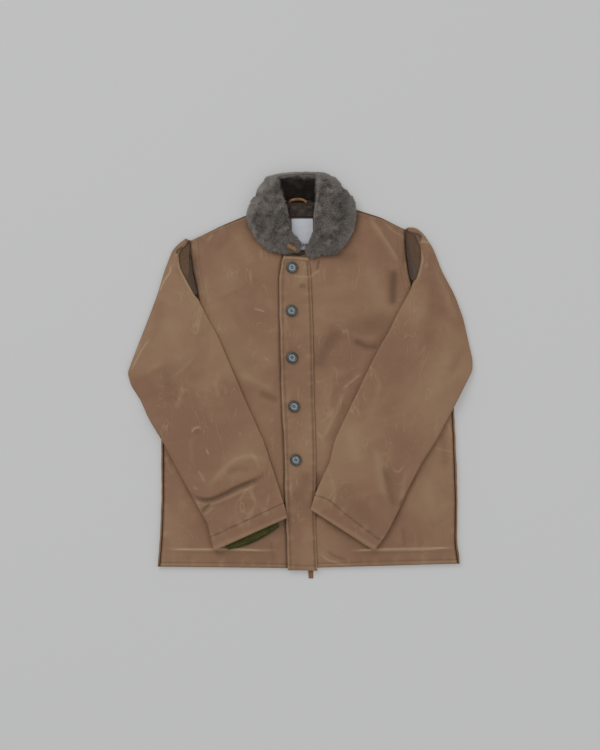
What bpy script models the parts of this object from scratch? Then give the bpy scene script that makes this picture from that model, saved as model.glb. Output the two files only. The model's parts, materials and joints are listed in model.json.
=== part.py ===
"""Deck jacket laid on its back, buttoned, with both sleeves swung over the front.

Sizes are in millimetres in the tables and in metres in the scene. +X is to the right as one
looks down on the jacket, +Y is towards the collar and +Z is up, away from the surface.
Each cloth piece is a wall between an upper and a lower skin, worked out from short tables.
"""
import math

import bmesh
import bpy
from mathutils import Vector
from mathutils.bvhtree import BVHTree

MM = 0.001

# Walls and clearances
PANEL_WALL = 6.0       # waxed cotton with its pile lining
SLEEVE_WALL = 4.0      # waxed cotton with a thinner lining
SLEEVE_HOLLOW = 3.0    # air between a sleeve's two walls
SEAM_GAP = 0.3         # between sewn pieces
REST_GAP = 0.5         # between pieces that lie on each other
FLAP_WALL = 3.0
BACK_EDGE_WALL = 4.0   # the back where it comes round the sides
BODY_PUFF = 3.0        # most that a front stands off the back
FRONT_THIN = 2.8       # taken off a front where the flap covers it
HEM_DROP = 1.2         # how much a front's rim lies lower at its hem and side
EDGE_DEPTH = 14.0      # how far in from its edge the back's curled profile reaches

# Outline of the body, from the hem up, as laid: side of the wearer's right (left in view)
RIGHT_SIDE = {
    "x": (-286, -281, -278, -278, -277, -275, -272, -264),
    "y": (-383, -329, -249, -129, -50, 10, 61, 107),
}
LEFT_SIDE = {
    "x": (321, 315, 316, 312, 308, 304, 298, 283),
    "y": (-377, -336, -249, -129, -50, 10, 61, 118),
}
# Armhole edges of the back, from the underarm up to the shoulder tip
RIGHT_ARMHOLE_BACK = {
    "x": (-244, -232, -223, -219, -219, -220),
    "y": (130, 158, 195, 225, 250, 270),
}
LEFT_ARMHOLE_BACK = {
    "x": (262, 245, 234, 226, 218, 210),
    "y": (148, 180, 212, 243, 270, 293),
}
# Armhole edge of each front where a sleeve hides it; a sleeve's inner end gives the rest
RIGHT_UNDERARM = {"x": (-236, -216), "y": (116, 127)}
LEFT_UNDERARM = {"x": (258, 240), "y": (132, 152)}
# Shoulders and necklines, from the tip inwards
RIGHT_SHOULDER = {"x": (-165, -109, -76), "y": (295, 317, 328)}
LEFT_SHOULDER = {"x": (172, 114, 80), "y": (311, 328, 336)}
BACK_NECK = {"x": (-46, -16, 16, 50), "y": (341, 343, 343, 343)}
RIGHT_FRONT_NECK = {"x": (-66, -44, -20, -3), "y": (296, 264, 246, 240)}
LEFT_FRONT_NECK = {"x": (70, 48, 24, -1.5), "y": (300, 266, 246, 240)}
HEM_CENTRE_Y = -386
FRONT_MEET_X = -2.0    # the fronts meet here, under the flap

# Broad forms of the cloth on the fronts: centre, half lengths along and across, turn, height
BODY_FOLDS = (
    {"name": "right_chest", "x": -130, "y": 190, "along": 90, "across": 60, "turn": 20, "z": 2.2},
    {"name": "left_chest", "x": 120, "y": 205, "along": 90, "across": 55, "turn": -20, "z": 2.2},
    {"name": "right_fold", "x": -110, "y": 30, "along": 90, "across": 26, "turn": -32, "z": 2.4},
    {"name": "left_ridge", "x": 92, "y": 88, "along": 110, "across": 28, "turn": 52, "z": 2.6},
    {"name": "left_valley", "x": 118, "y": 20, "along": 120, "across": 30, "turn": 58, "z": -2.4},
    {"name": "left_lower", "x": 70, "y": -60, "along": 90, "across": 36, "turn": 72, "z": 1.8},
    {"name": "right_lower", "x": -235, "y": -250, "along": 80, "across": 30, "turn": 100, "z": 1.6},
    {"name": "left_skirt", "x": 240, "y": -250, "along": 90, "across": 40, "turn": 80, "z": 1.8},
)

# Sleeves: a row for each section, from the shoulder tip to the cuff.
# outer is the far edge, inner the near one (the armhole seam, then the rolled fold),
# fold is how far the fold stands in from the inner end, rise its height over the cloth there.
RIGHT_SLEEVE = {
    "outer_x": (-229, -244, -256, -272, -285, -300, -321, -338, -346, -339,
                -320, -303, -277, -234, -199, -186, -180, -173),
    "outer_y": (275, 264, 251, 210, 166, 125, 71, 27, 5, -20,
                -49, -87, -129, -210, -274, -295, -324, -351),
    "inner_x": (-220.5, -219, -218.5, -215, -207.5, -200.5, -180, -163, -148, -128,
                -112, -92, -73, -53, -38, -34, -29, -25),
    "inner_y": (270, 257, 243, 211, 175, 146, 107, 77, 41, -5,
                -43, -87, -129, -190, -237, -250, -265, -284),
    "fold": (2, 14, 34, 24, 12, 3),
    "rise": (0, 1, 5, 9, 11, 12),
}
LEFT_SLEEVE = {
    "outer_x": (217, 233, 248, 267, 284, 310, 327, 339, 346, 346,
                332, 316, 273, 243, 214, 197, 184, 170, 149),
    "outer_y": (297, 297, 284, 255, 210, 162, 116, 62, 32, 10,
                -17, -49, -129, -176, -232, -271, -297, -322, -351),
    "inner_x": (210.5, 211, 211.8, 214, 218.5, 224.5, 195, 179, 162, 149,
                130, 108, 69, 59, 46, 38, 32, 26, 21),
    "inner_y": (292, 278, 260, 234, 205, 178, 125, 91, 63, 38,
                -1, -47, -129, -173, -200, -219, -232, -249, -268),
    "fold": (2, 14, 42, 34, 20, 3),
    "rise": (0, 1, 5, 9, 11, 12),
}
CAP_SECTIONS = 6       # rows of a sleeve table that end on the armhole seam
SIDE_ROWS = 17         # points up each side, which the back and the fronts share
SLEEVE_PUFF = (        # soft ridges and hollows on top of a sleeve: along 0..1, across 0..1
    {"v": 0.34, "w": 0.35, "long": 0.16, "wide": 0.30, "z": 3.2},
    {"v": 0.52, "w": 0.60, "long": 0.12, "wide": 0.28, "z": 2.6},
    {"v": 0.62, "w": 0.20, "long": 0.05, "wide": 0.30, "z": -1.6},
    {"v": 0.74, "w": 0.45, "long": 0.09, "wide": 0.30, "z": 2.4},
    {"v": 0.86, "w": 0.55, "long": 0.035, "wide": 0.45, "z": -1.8},
    {"v": 0.93, "w": 0.45, "long": 0.05, "wide": 0.45, "z": 1.6},
)
CUFF_HOLLOW = 6.2      # mouth of the right sleeve, which the knitted cuff fills
RIB_WALL = 1.4
RIB = {"far": 0.17, "near": 0.86, "inside": 34.0, "edge_out": 9.5, "middle_out": 8.0}

# Collar: a row for each section from the wearer's right end round the back to the left end.
# outer is the fall's edge, roll the crest line, neck the foot of the stand, top its height.
COLLAR = {
    "outer_x": (2, -33, -65, -86, -104, -108, -98, -85, -69, -40, -14,
                12, 48, 71, 86, 101, 112, 114, 108, 92, 73, 39, 23, 10),
    "outer_y": (247, 242, 249, 267, 299, 325, 351, 373, 397, 404, 406,
                407, 406, 397, 379, 367, 345, 317, 289, 260, 242, 238, 234, 243),
    "roll_x": (5, -2, -14, -19, -24, -29, -35, -41, -43, -30, -10,
               12, 30, 35, 34, 32, 30, 28, 27, 26, 25.5, 20, 14, 8.6),
    "roll_y": (264, 275, 293, 311, 331, 347, 366, 380, 391, 397, 399,
               399, 397, 388, 374, 360, 345, 331, 318, 303, 292, 277, 268, 264),
    "neck_x": (1, -7, -19, -24, -29, -34, -39, -42, -40, -30, -10,
               12, 30, 39, 38, 36, 34, 32, 31, 30, 30, 25, 20, 12.6),
    "neck_y": (262, 272, 291, 309, 329, 343, 349, 349, 348, 348, 348,
               348, 348, 348, 348, 345, 343, 330, 318, 303, 292, 276, 266, 260),
    "top": (24, 33, 38, 41, 43, 44, 43, 42, 40, 37, 36,
            36, 37, 40, 42, 43, 44, 44, 43, 41, 39, 35, 30, 25),
}
COLLAR_PROFILE = (     # across a section: place from outer (0) to roll (1), height 0..1
    (0.00, 0.22), (0.03, 0.46), (0.13, 0.70), (0.30, 0.88), (0.52, 0.98),
    (0.76, 1.00), (0.93, 0.93), (1.00, 0.78),
)

BUTTONS = {
    "x": (-16, -17, -16, -12, -8.4),
    "y": (216.2, 129.6, 35.8, -61.8, -168.8),
}
BUTTON_R = 11.5
BUTTON_H = 4.2

FLAP_LEFT = {"y": (-390, -130, 57, 195, 228, 241), "x": (-25.5, -33, -40.5, -41.5, -38, -33)}
FLAP_RIGHT = {"y": (-391, -290, -157, -35, 87, 195, 228, 237), "x": (35, 31, 32, 28, 26, 22, 19, 16)}
NECK_BAND = {"left": -22, "right": 27, "low": 318, "high": 341, "thick": 2.2}
LABEL = {"left": -17, "right": 26, "low": 252, "high": 314, "thick": 0.6}
HANGER = {"left": -22, "right": 13, "foot_y": 345.5, "arch": 7.5, "wide": 4.6, "thick": 1.6}
THROAT_LOOP = {"x": (-25, -8), "y": (260, 251), "wide": 8.0, "thick": 2.6}
HEM_TIE = {"left": 16.5, "right": 27, "low": -407, "high": -386.3, "thick": 2.4}

COLOURS = {            # base colour, roughness
    "cloth": ((0.235, 0.130, 0.072), 0.72),
    "fur": ((0.26, 0.225, 0.195), 0.95),
    "pile": ((0.075, 0.058, 0.045), 0.95),
    "label": ((0.76, 0.78, 0.86), 0.60),
    "rib": ((0.052, 0.056, 0.018), 0.90),
    "leather": ((0.20, 0.095, 0.035), 0.60),
    "button": ((0.045, 0.058, 0.055), 0.35),
}


def clear_scene():
    """Remove what the scene holds."""
    for item in list(bpy.data.objects):
        bpy.data.objects.remove(item, do_unlink=True)


def make_collection(name):
    """A collection of the scene, by name."""
    group = bpy.data.collections.new(name)
    bpy.context.scene.collection.children.link(group)
    return group


def make_material(name):
    """A Principled material in the part's colour."""
    colour, roughness = COLOURS[name]
    material = bpy.data.materials.new(name)
    material.use_nodes = True
    shader = material.node_tree.nodes["Principled BSDF"]
    shader.inputs["Base Color"].default_value = (*colour, 1.0)
    shader.inputs["Roughness"].default_value = roughness
    shader.inputs["Metallic"].default_value = 0.0
    return material


def add_mesh(name, points, faces, material):
    """An object from points in millimetres, faces turned to point out."""
    mesh = bpy.data.meshes.new(name)
    mesh.from_pydata([tuple(c * MM for c in p) for p in points], [], faces)
    bm = bmesh.new()
    bm.from_mesh(mesh)
    bmesh.ops.recalc_face_normals(bm, faces=bm.faces)
    bmesh.ops.triangulate(bm, faces=bm.faces)
    bm.to_mesh(mesh)
    bm.free()
    mesh.shade_smooth()
    mesh.set_sharp_from_angle(angle=math.radians(50))
    item = bpy.data.objects.new(name, mesh)
    item.data.materials.append(MATERIALS[material])
    JACKET.objects.link(item)
    return item


def add_wall(name, outer, inner, faces, material):
    """A closed wall: an outer and an inner skin of the same faces, joined round their rims."""
    count = len(outer)
    uses = {}
    for face in faces:
        for a, b in zip(face, face[1:] + face[:1]):
            uses.setdefault(frozenset((a, b)), []).append((a, b))
    rims = [use[0] for use in uses.values() if len(use) == 1]
    skins = list(faces) + [tuple(count + i for i in reversed(face)) for face in faces]
    skins += [(b, a, count + a, count + b) for a, b in rims]
    return add_mesh(name, list(outer) + list(inner), skins, material)


def grid_faces(rows, columns, closed=False):
    """Quads over a grid of rows by columns, closed across the columns or not."""
    wrap = columns if closed else columns - 1
    return [
        (r * columns + c, r * columns + (c + 1) % columns,
         (r + 1) * columns + (c + 1) % columns, (r + 1) * columns + c)
        for r in range(rows - 1) for c in range(wrap)
    ]


def smooth_step(t):
    """0 to 1, level at both ends."""
    t = min(max(t, 0.0), 1.0)
    return t * t * (3 - 2 * t)


def mix(a, b, t):
    """The value or point at share t of the way from a to b."""
    if isinstance(a, (int, float)):
        return a + (b - a) * t
    return tuple(p + (q - p) * t for p, q in zip(a, b))


def line(table, x="x", y="y"):
    """A table's two columns as plan points."""
    return list(zip(table[x], table[y]))


def resample(points, count):
    """The polyline at count even steps of its length."""
    lengths = [0.0]
    for a, b in zip(points, points[1:]):
        lengths.append(lengths[-1] + math.dist(a, b))
    out = []
    for i in range(count):
        want = lengths[-1] * i / (count - 1)
        k = max(j for j in range(len(points) - 1) if lengths[j] <= want + 1e-9)
        share = (want - lengths[k]) / (lengths[k + 1] - lengths[k])
        out.append(mix(points[k], points[k + 1], min(share, 1.0)))
    return out


def read_curve(keys, values, at):
    """A value read between the entries of a rising column."""
    if at <= keys[0]:
        return values[0]
    for k0, k1, v0, v1 in zip(keys, keys[1:], values, values[1:]):
        if at <= k1:
            return mix(v0, v1, (at - k0) / (k1 - k0))
    return values[-1]


def coons(low, high, left, right, u, v):
    """A point inside four edges: low and high run left to right, left and right run up."""
    def at(points, t):
        place = t * (len(points) - 1)
        k = min(int(place), len(points) - 2)
        return mix(points[k], points[k + 1], place - k)
    rows = mix(at(low, u), at(high, u), v)
    sides = mix(at(left, v), at(right, v), u)
    corners = mix(mix(low[0], low[-1], u), mix(high[0], high[-1], u), v)
    return tuple(a + b - c for a, b, c in zip(rows, sides, corners))


def fold_height(x, y, edge):
    """Broad relief of a front at a plan point; edge fades it out at the seams."""
    total = 0.0
    for fold in BODY_FOLDS:
        turn = math.radians(fold["turn"])
        dx, dy = x - fold["x"], y - fold["y"]
        along = (dx * math.cos(turn) + dy * math.sin(turn)) / fold["along"]
        across = (dy * math.cos(turn) - dx * math.sin(turn)) / fold["across"]
        total += fold["z"] * math.exp(-along * along - across * across)
    return (total + BODY_PUFF * 0.5) * edge


# How far round a point each piece looks for what it rests on, and how far beyond that it eases
SLEEVE_REACH, SLEEVE_SPREAD, SLEEVE_SLOPE = 15.0, 34.0, 0.36
COLLAR_REACH, COLLAR_SPREAD, COLLAR_FOOT_REACH = 26.0, 16.0, 12.0
RIB_REACH, RIB_SPREAD = 9.0, 30.0
FLAP_REACH = 11.0
BAND_REACH, LABEL_REACH = 8.0, 0.1
STRAP_REACH, THROAT_REACH = 1.5, 1.8
FALL_SLOPE = 0.42
DIRECTIONS = 12


class Drape:
    """How high a piece must lie to rest on the pieces under it."""

    def __init__(self, items):
        self.trees = []
        for item in items:
            bm = bmesh.new()
            bm.from_mesh(item.data)
            self.trees.append(BVHTree.FromBMesh(bm))
            bm.free()

    def hit(self, x, y):
        """Top of the pieces at a plan point, 0 on the bare surface."""
        best = 0.0
        for tree in self.trees:
            place = tree.ray_cast(Vector((x * MM, y * MM, 1.0)), Vector((0, 0, -1)))[0]
            if place is not None:
                best = max(best, place.z / MM)
        return best

    def rest(self, x, y, reach, spread=0.0, slope=FALL_SLOPE):
        """Height over the highest point within reach, easing down at a slope beyond it."""
        best = self.hit(x, y)
        for ring in range(1, 5 if spread else 3):
            radius = reach * min(ring / 2, 1) + max(ring - 2, 0) * spread / 2
            fall = max(radius - reach, 0) * slope
            for k in range(DIRECTIONS):
                turn = math.tau * k / DIRECTIONS
                found = self.hit(x + radius * math.cos(turn), y + radius * math.sin(turn))
                best = max(best, found - fall)
        return best + REST_GAP if best > 0 else 0.0


EDGE_OUT = ((14.0, 0.0), (6.0, 0.0), (1.6, 1.8), (0.0, 5.6), (1.0, 9.6), (3.6, 12.0))
EDGE_IN = ((14.0, 6.0), (6.2, 6.0), (4.4, 6.0), (4.2, 7.0), (4.2, 9.6), (4.2, 12.0))
CUT_OUT = ((14.0, 0.0), (9.0, 0.0), (6.0, 0.0), (3.0, 0.0), (1.0, 0.0), (0.0, 0.4))
CUT_IN = ((14.0, 6.0), (9.0, 6.0), (6.0, 6.0), (3.0, 6.0), (1.0, 6.0), (0.0, 5.8))


def edge_profile(edge, inset, curled, is_outer):
    """A back row's points from its rim to a depth in: curled round, or cut at the armhole."""
    if curled:
        profile = EDGE_OUT if is_outer else EDGE_IN
    else:
        profile = CUT_OUT if is_outer else CUT_IN
    return [(*mix(edge, inset, depth / EDGE_DEPTH), z) for depth, z in reversed(profile)]


def back_side(side, armhole):
    """The back's edge from hem to shoulder tip, with a step for each sleeve section."""
    armhole_points = resample([line(side)[-1]] + line(armhole), CAP_SECTIONS)
    return resample(line(side), SIDE_ROWS) + armhole_points[1:]


def front_side(side, underarm, sleeve):
    """A front's edge from hem to shoulder tip, beside the back's rim and the sleeve's seam."""
    sign = 1 if side["x"][0] < 0 else -1
    inset = BACK_EDGE_WALL + 2 * SEAM_GAP
    seam = line(sleeve, "inner_x", "inner_y")[:CAP_SECTIONS][::-1]
    return ([(x + sign * inset, y) for x, y in resample(line(side), SIDE_ROWS)]
            + line(underarm) + [(x + sign * 2 * SEAM_GAP, y) for x, y in seam])


def make_back():
    """The back panel, whose sides come round to meet the fronts."""
    columns = 19
    right = back_side(RIGHT_SIDE, RIGHT_ARMHOLE_BACK)
    left = back_side(LEFT_SIDE, LEFT_ARMHOLE_BACK)
    rows = len(right)
    low = resample([right[0], (0, HEM_CENTRE_Y), left[0]], columns)
    top = resample([right[-1]] + line(RIGHT_SHOULDER) + line(BACK_NECK)
                   + line(LEFT_SHOULDER)[::-1] + [left[-1]], columns)
    outer, inner = [], []
    for r in range(rows):
        core = [coons(low, top, right, left, c / (columns - 1), r / (rows - 1))
                for c in range(columns)]
        curled = r < rows - CAP_SECTIONS
        ends = ((core[0], core[1]), (core[-1], core[-2]))
        insets = [mix(a, b, EDGE_DEPTH / math.dist(a, b)) for a, b in ends]
        for skin, is_outer, z in ((outer, True, 0.0), (inner, False, PANEL_WALL)):
            skin += edge_profile(core[0], insets[0], curled, is_outer)
            skin += [(*point, z) for point in core[1:-1]]
            skin += edge_profile(core[-1], insets[1], curled, is_outer)[::-1]
    wide = columns - 2 + 2 * len(EDGE_OUT)
    return add_wall("back", outer, inner, grid_faces(rows, wide), "cloth")


def make_front(name, side, underarm, sleeve, shoulder, neck):
    """A front panel: its lower skin rests on the back, its upper skin has the broad folds."""
    columns = 14
    sign = 1 if side["x"][0] < 0 else -1
    edge = front_side(side, underarm, sleeve)
    rows = len(edge)
    centre_x = FRONT_MEET_X - sign * 0.5
    centre = [(centre_x, HEM_CENTRE_Y), (centre_x, neck["y"][-1])]
    top = [edge[-1]] + line(shoulder) + line(neck)[:-1] + [centre[1]]
    hem = resample([edge[0], centre[0]], columns)
    top, centre = resample(top, columns), resample(centre, rows)
    outer, inner = [], []
    for r in range(rows):
        for c in range(columns):
            u, v = c / (columns - 1), r / (rows - 1)
            x, y = coons(hem, top, edge, centre, u, v)
            fade = smooth_step(u * 5) * smooth_step((1 - u) * 6)
            fade *= smooth_step(v * 9) * smooth_step((1 - v) * 5)
            form = fold_height(x, y, fade)
            base = PANEL_WALL + SEAM_GAP
            thin = FRONT_THIN * smooth_step((u - 0.80) * 5)
            rim = HEM_DROP if c == 0 or r == 0 else 0.0
            outer.append((x, y, base + PANEL_WALL + form - thin - rim))
            inner.append((x, y, base + min(max(form, 0.0), BODY_PUFF)))
    return add_wall(name, outer, inner, grid_faces(rows, columns), "cloth")


def make_flap(drape):
    """The buttoned flap, over both front edges and sewn down along its right side."""
    rows, columns = 26, 6
    low, high = FLAP_LEFT["y"][0], FLAP_LEFT["y"][-1]
    outer, inner = [], []
    for r in range(rows):
        v = r / (rows - 1)
        y_left = mix(low, high, v)
        y_right = mix(FLAP_RIGHT["y"][0], FLAP_RIGHT["y"][-1], v)
        left = (read_curve(FLAP_LEFT["y"], FLAP_LEFT["x"], y_left), y_left)
        right = (read_curve(FLAP_RIGHT["y"], FLAP_RIGHT["x"], y_right), y_right)
        for c in range(columns):
            u = c / (columns - 1)
            x, y = mix(left, right, u)
            z = drape.rest(x, y, FLAP_REACH)
            thick = FLAP_WALL - 1.6 * smooth_step((u - 0.7) / 0.3)
            outer.append((x, y, z + thick))
            inner.append((x, y, z))
    return add_wall("front_flap", outer, inner, grid_faces(rows, columns), "cloth")


def sleeve_rows(table, back_edge, hidden_edge):
    """Plan rows of a sleeve: ends of each section, with long steps halved."""
    rows = []
    count = len(table["outer_x"])
    for i in range(count):
        rows.append({
            "outer": (table["outer_x"][i], table["outer_y"][i]),
            "inner": (table["inner_x"][i], table["inner_y"][i]),
            "v": i / (count - 1),
            "cap": i if i < CAP_SECTIONS else None,
        })
        if i < CAP_SECTIONS:
            rows[-1]["seam"] = back_edge[i]
            rows[-1]["fold"] = table["fold"][i]
            rows[-1]["rise"] = table["rise"][i]
    rows[CAP_SECTIONS - 1]["hidden"] = hidden_edge
    out = rows[:CAP_SECTIONS + 1]
    for a, b in zip(rows[CAP_SECTIONS:], rows[CAP_SECTIONS + 1:]):
        over_side = -140 < a["outer"][1] < 60
        parts = math.ceil(math.dist(a["outer"], b["outer"]) / (24 if over_side else 60))
        out += [{"outer": mix(a["outer"], b["outer"], i / parts),
                 "inner": mix(a["inner"], b["inner"], i / parts),
                 "v": mix(a["v"], b["v"], i / parts), "cap": None}
                for i in range(1, parts)]
        out.append(b)
    return out


ROUND_R = 5.5          # half the height of a sleeve laid flat
ROUND = (               # a rolled edge: step in and height, outer skin then inner skin
    (1.6, -3.9, 4.4, -1.1), (0.0, 0.0, 4.0, 0.0), (1.6, 3.9, 4.4, 1.1),
)
CLOSE_COLUMNS, LOW_COLUMNS, TOP_COLUMNS = 6, 5, 11


def sleeve_puff(v, w):
    """Soft relief on a sleeve's upper wall."""
    total = 0.6
    for form in SLEEVE_PUFF:
        a, b = (v - form["v"]) / form["long"], (w - form["w"]) / form["wide"]
        total += form["z"] * math.exp(-a * a - b * b)
    return total * smooth_step(w * 5) * smooth_step((1 - w) * 5) * smooth_step((1 - v) * 12)


def cap_height(s, row):
    """Height of the sleeve's front between the armhole seam (s = 0) and the outer end."""
    seam_z = SLEEVE_HOLLOW + 2 * SLEEVE_WALL
    fold, rise = row["fold"], row["rise"]
    length = math.dist(row["outer"], row["inner"])
    if s < fold:
        return seam_z - min(1.0, fold * 0.1) * math.sin(math.pi * s / fold)
    up = smooth_step((s - fold) / 4.0 + 0.25)
    down = 1 - smooth_step((s - fold - 8) / max(length - fold - 8, 6.0))
    return seam_z + rise * up * down


def top_marks(row, length):
    """Where the upper wall's columns stand, measured from the inner end."""
    span = length - ROUND_R
    if row["cap"] is None:
        return [ROUND_R + (span - ROUND_R) * (i / (TOP_COLUMNS - 1)) ** 1.15
                for i in range(TOP_COLUMNS)]
    fold = row["fold"]
    marks = [0.0, fold * 0.5, fold - 1.0, fold + 1.5, fold + 7.0]
    scale = min(1.0, span * 0.75 / marks[-1])
    marks = [m * scale for m in marks]
    rest = TOP_COLUMNS - len(marks)
    return marks + [mix(marks[-1], span, (i + 1) / rest) for i in range(rest)]


def body_crossing(drape, near, far):
    """Distance from a section's inner end to the body's side, or just past half its length."""
    length = math.dist(near, far)
    steps = 80
    for i in range(steps, 0, -1):
        if drape.hit(*mix(near, far, i / steps)) > 0:
            edge = length * i / steps
            return min(edge, length * 0.62) if edge > length * 0.9 else edge
    return length * 0.6


def make_sleeve(name, table, side, armhole_back, underarm, drape, cuff_hollow):
    """A sleeve: an open tube from the armhole to the cuff, its two walls laid flat."""
    sign = -1 if table["outer_x"][-1] < 0 else 1
    corner = line(side)[-1]
    back_edge = resample([corner] + line(armhole_back), CAP_SECTIONS)[::-1]
    back_edge = [(x + sign * 2 * SEAM_GAP, y) for x, y in back_edge]
    seam_end = line(table, "inner_x", "inner_y")[CAP_SECTIONS - 1]
    hidden = resample([seam_end] + line(underarm)[::-1] + [corner], CLOSE_COLUMNS)
    rows = sleeve_rows(table, back_edge, hidden)
    outer, inner, faces, index = [], [], [], {}

    def put(r, column, plan, z_out, plan_in, z_in):
        index[r, column] = len(outer)
        outer.append((*plan, z_out))
        inner.append((*plan_in, z_in))

    for r, row in enumerate(rows):
        far, near = row["outer"], row["inner"]
        length = math.dist(far, near)
        capped = row["cap"] is not None
        joined = not capped or row["cap"] == CAP_SECTIONS - 1
        hollow = mix(SLEEVE_HOLLOW, cuff_hollow, smooth_step((row["v"] - 0.86) * 9))

        def height(plan):
            return (drape.rest(*plan, SLEEVE_REACH, spread=SLEEVE_SPREAD, slope=SLEEVE_SLOPE)
                    if joined else 0.0)

        def at(s):
            return mix(near, far, s / length)

        bottom = []
        if capped:
            low_start = row["seam"]
            low_end = mix(far, low_start, min(ROUND_R / math.dist(far, low_start), 0.45))
            if joined:
                bottom = [(p, height(p)) for p in row["hidden"]]
            bottom += [(mix(low_start, low_end, i / (LOW_COLUMNS - 1)), 0.0)
                       for i in range(LOW_COLUMNS)]
        else:
            split = body_crossing(drape, near, far)
            spans = ((ROUND_R, split - 6, CLOSE_COLUMNS),
                     (split + 6, length - ROUND_R, LOW_COLUMNS))
            bottom = [(at(mix(a, b, i / (n - 1))), height(at(mix(a, b, i / (n - 1)))))
                      for a, b, n in spans for i in range(n)]
        first = 0 if joined else CLOSE_COLUMNS
        for i, (plan, z) in enumerate(bottom):
            corner_place = row["cap"] == CAP_SECTIONS - 1 and first + i == CLOSE_COLUMNS
            plan_in = mix(plan, bottom[-1][0], 0.12) if corner_place else plan
            put(r, first + i, plan, z, plan_in, z + SLEEVE_WALL)
        column = CLOSE_COLUMNS + LOW_COLUMNS
        far_base = bottom[-1][1]
        end_span = min(ROUND_R, length * 0.45)
        grow = end_span / ROUND_R
        lift = (hollow - SLEEVE_HOLLOW) / 2
        for step, z, step_in, z_in in ROUND:
            middle = far_base + ROUND_R + lift
            stretch = 1 + lift / ROUND_R
            put(r, column, mix(far, near, step * grow / length), middle + z * stretch,
                mix(far, near, step_in * grow / length), middle + z_in + lift * (z_in > 0)
                - lift * (z_in < 0))
            column += 1
        for s in reversed(top_marks(row, length)):
            plan = at(s)
            base = height(plan)
            z_in = base + SLEEVE_WALL + hollow
            z = z_in + SLEEVE_WALL + sleeve_puff(row["v"], s / length)
            if capped and not joined:
                z = max(cap_height(s, row), z_in + 2.0)
            put(r, column, plan, z, plan, z_in)
            column += 1
        if joined:
            near_base = bottom[0][1]
            for step, z, step_in, z_in in reversed(ROUND):
                middle = near_base + ROUND_R + lift
                stretch = 1 + lift / ROUND_R
                put(r, column, at(step), middle + z * stretch, at(step_in),
                    middle + z_in + lift * (z_in > 0) - lift * (z_in < 0))
                column += 1
    total = CLOSE_COLUMNS + LOW_COLUMNS + 3 + TOP_COLUMNS + 3
    for r in range(len(rows) - 1):
        for c in range(total):
            corners = [(r, c), (r, (c + 1) % total), (r + 1, (c + 1) % total), (r + 1, c)]
            if all(corner in index for corner in corners):
                face = tuple(index[corner] for corner in corners)
                if (r, c) == (CAP_SECTIONS - 1, CLOSE_COLUMNS - 1):
                    faces += [face[:3], (face[0], face[2], face[3])]
                else:
                    faces.append(face)
    item = add_wall(name, outer, inner, faces, "cloth")
    low_faces = [f for f in faces if all(outer[i][2] < inner[i][2] for i in f)]
    return item, BVHTree.FromPolygons([Vector(p) for p in inner], low_faces)


def make_rib(floor_tree, drape):
    """The knitted cuff inside the right sleeve's mouth: a flat tube that shows past it."""
    far = (RIGHT_SLEEVE["outer_x"][-1], RIGHT_SLEEVE["outer_y"][-1])
    near = (RIGHT_SLEEVE["inner_x"][-1], RIGHT_SLEEVE["inner_y"][-1])
    along = tuple((b - a) / math.dist(far, near) for a, b in zip(far, near))
    out = (along[1], -along[0])
    columns = 10
    wall, hollow = RIB_WALL, 0.4
    half = wall + hollow / 2
    outer, inner = [], []
    for share in (-1.0, -0.5, 0.0, 0.5, 1.0):
        ring_out, ring_in = [], []
        for side in (0, 1):
            for i in range(columns):
                w = i / (columns - 1)
                w = w if side == 0 else 1 - w
                reach = RIB["edge_out"] + RIB["middle_out"] * math.sin(math.pi * w)
                depth = share * (RIB["inside"] if share < 0 else reach)
                spot = mix(far, near, mix(RIB["far"], RIB["near"], w))
                plan = (spot[0] + out[0] * depth, spot[1] + out[1] * depth)
                spot_in = mix(far, near, mix(RIB["far"], RIB["near"], mix(w, 0.5, 0.03)))
                plan_in = (spot_in[0] + out[0] * depth, spot_in[1] + out[1] * depth)
                z = floor_height(floor_tree, drape, plan, depth)
                sign = -1 if side == 0 else 1
                ring_out.append((*plan, z + half + sign * (half if 0 < i < columns - 1
                                                           else half * 0.6)))
                ring_in.append((*plan_in, z + half + sign * (hollow / 2)))
        outer += ring_out
        inner += ring_in
    faces = grid_faces(5, 2 * columns, closed=True)
    return add_wall("rib_cuff_right", outer, inner, faces, "rib")


def floor_height(tree, drape, plan, depth):
    """Height of the sleeve's lower wall inside the mouth, easing down outside it."""
    best = 0.0
    for k in range(13):
        turn, radius = math.tau * k / 12, 2.0 if k < 12 else 0.0
        spot = Vector((plan[0] + radius * math.cos(turn), plan[1] + radius * math.sin(turn), 900))
        place = tree.ray_cast(spot, Vector((0, 0, -1)))[0]
        if place is not None:
            best = max(best, place.z)
    inside = best + REST_GAP
    if depth <= 0 and best > 0:
        return inside
    outside = drape.rest(*plan, RIB_REACH, spread=RIB_SPREAD)
    return outside + max(SLEEVE_WALL + 1.0 - 0.25 * depth, 0.0)


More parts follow.
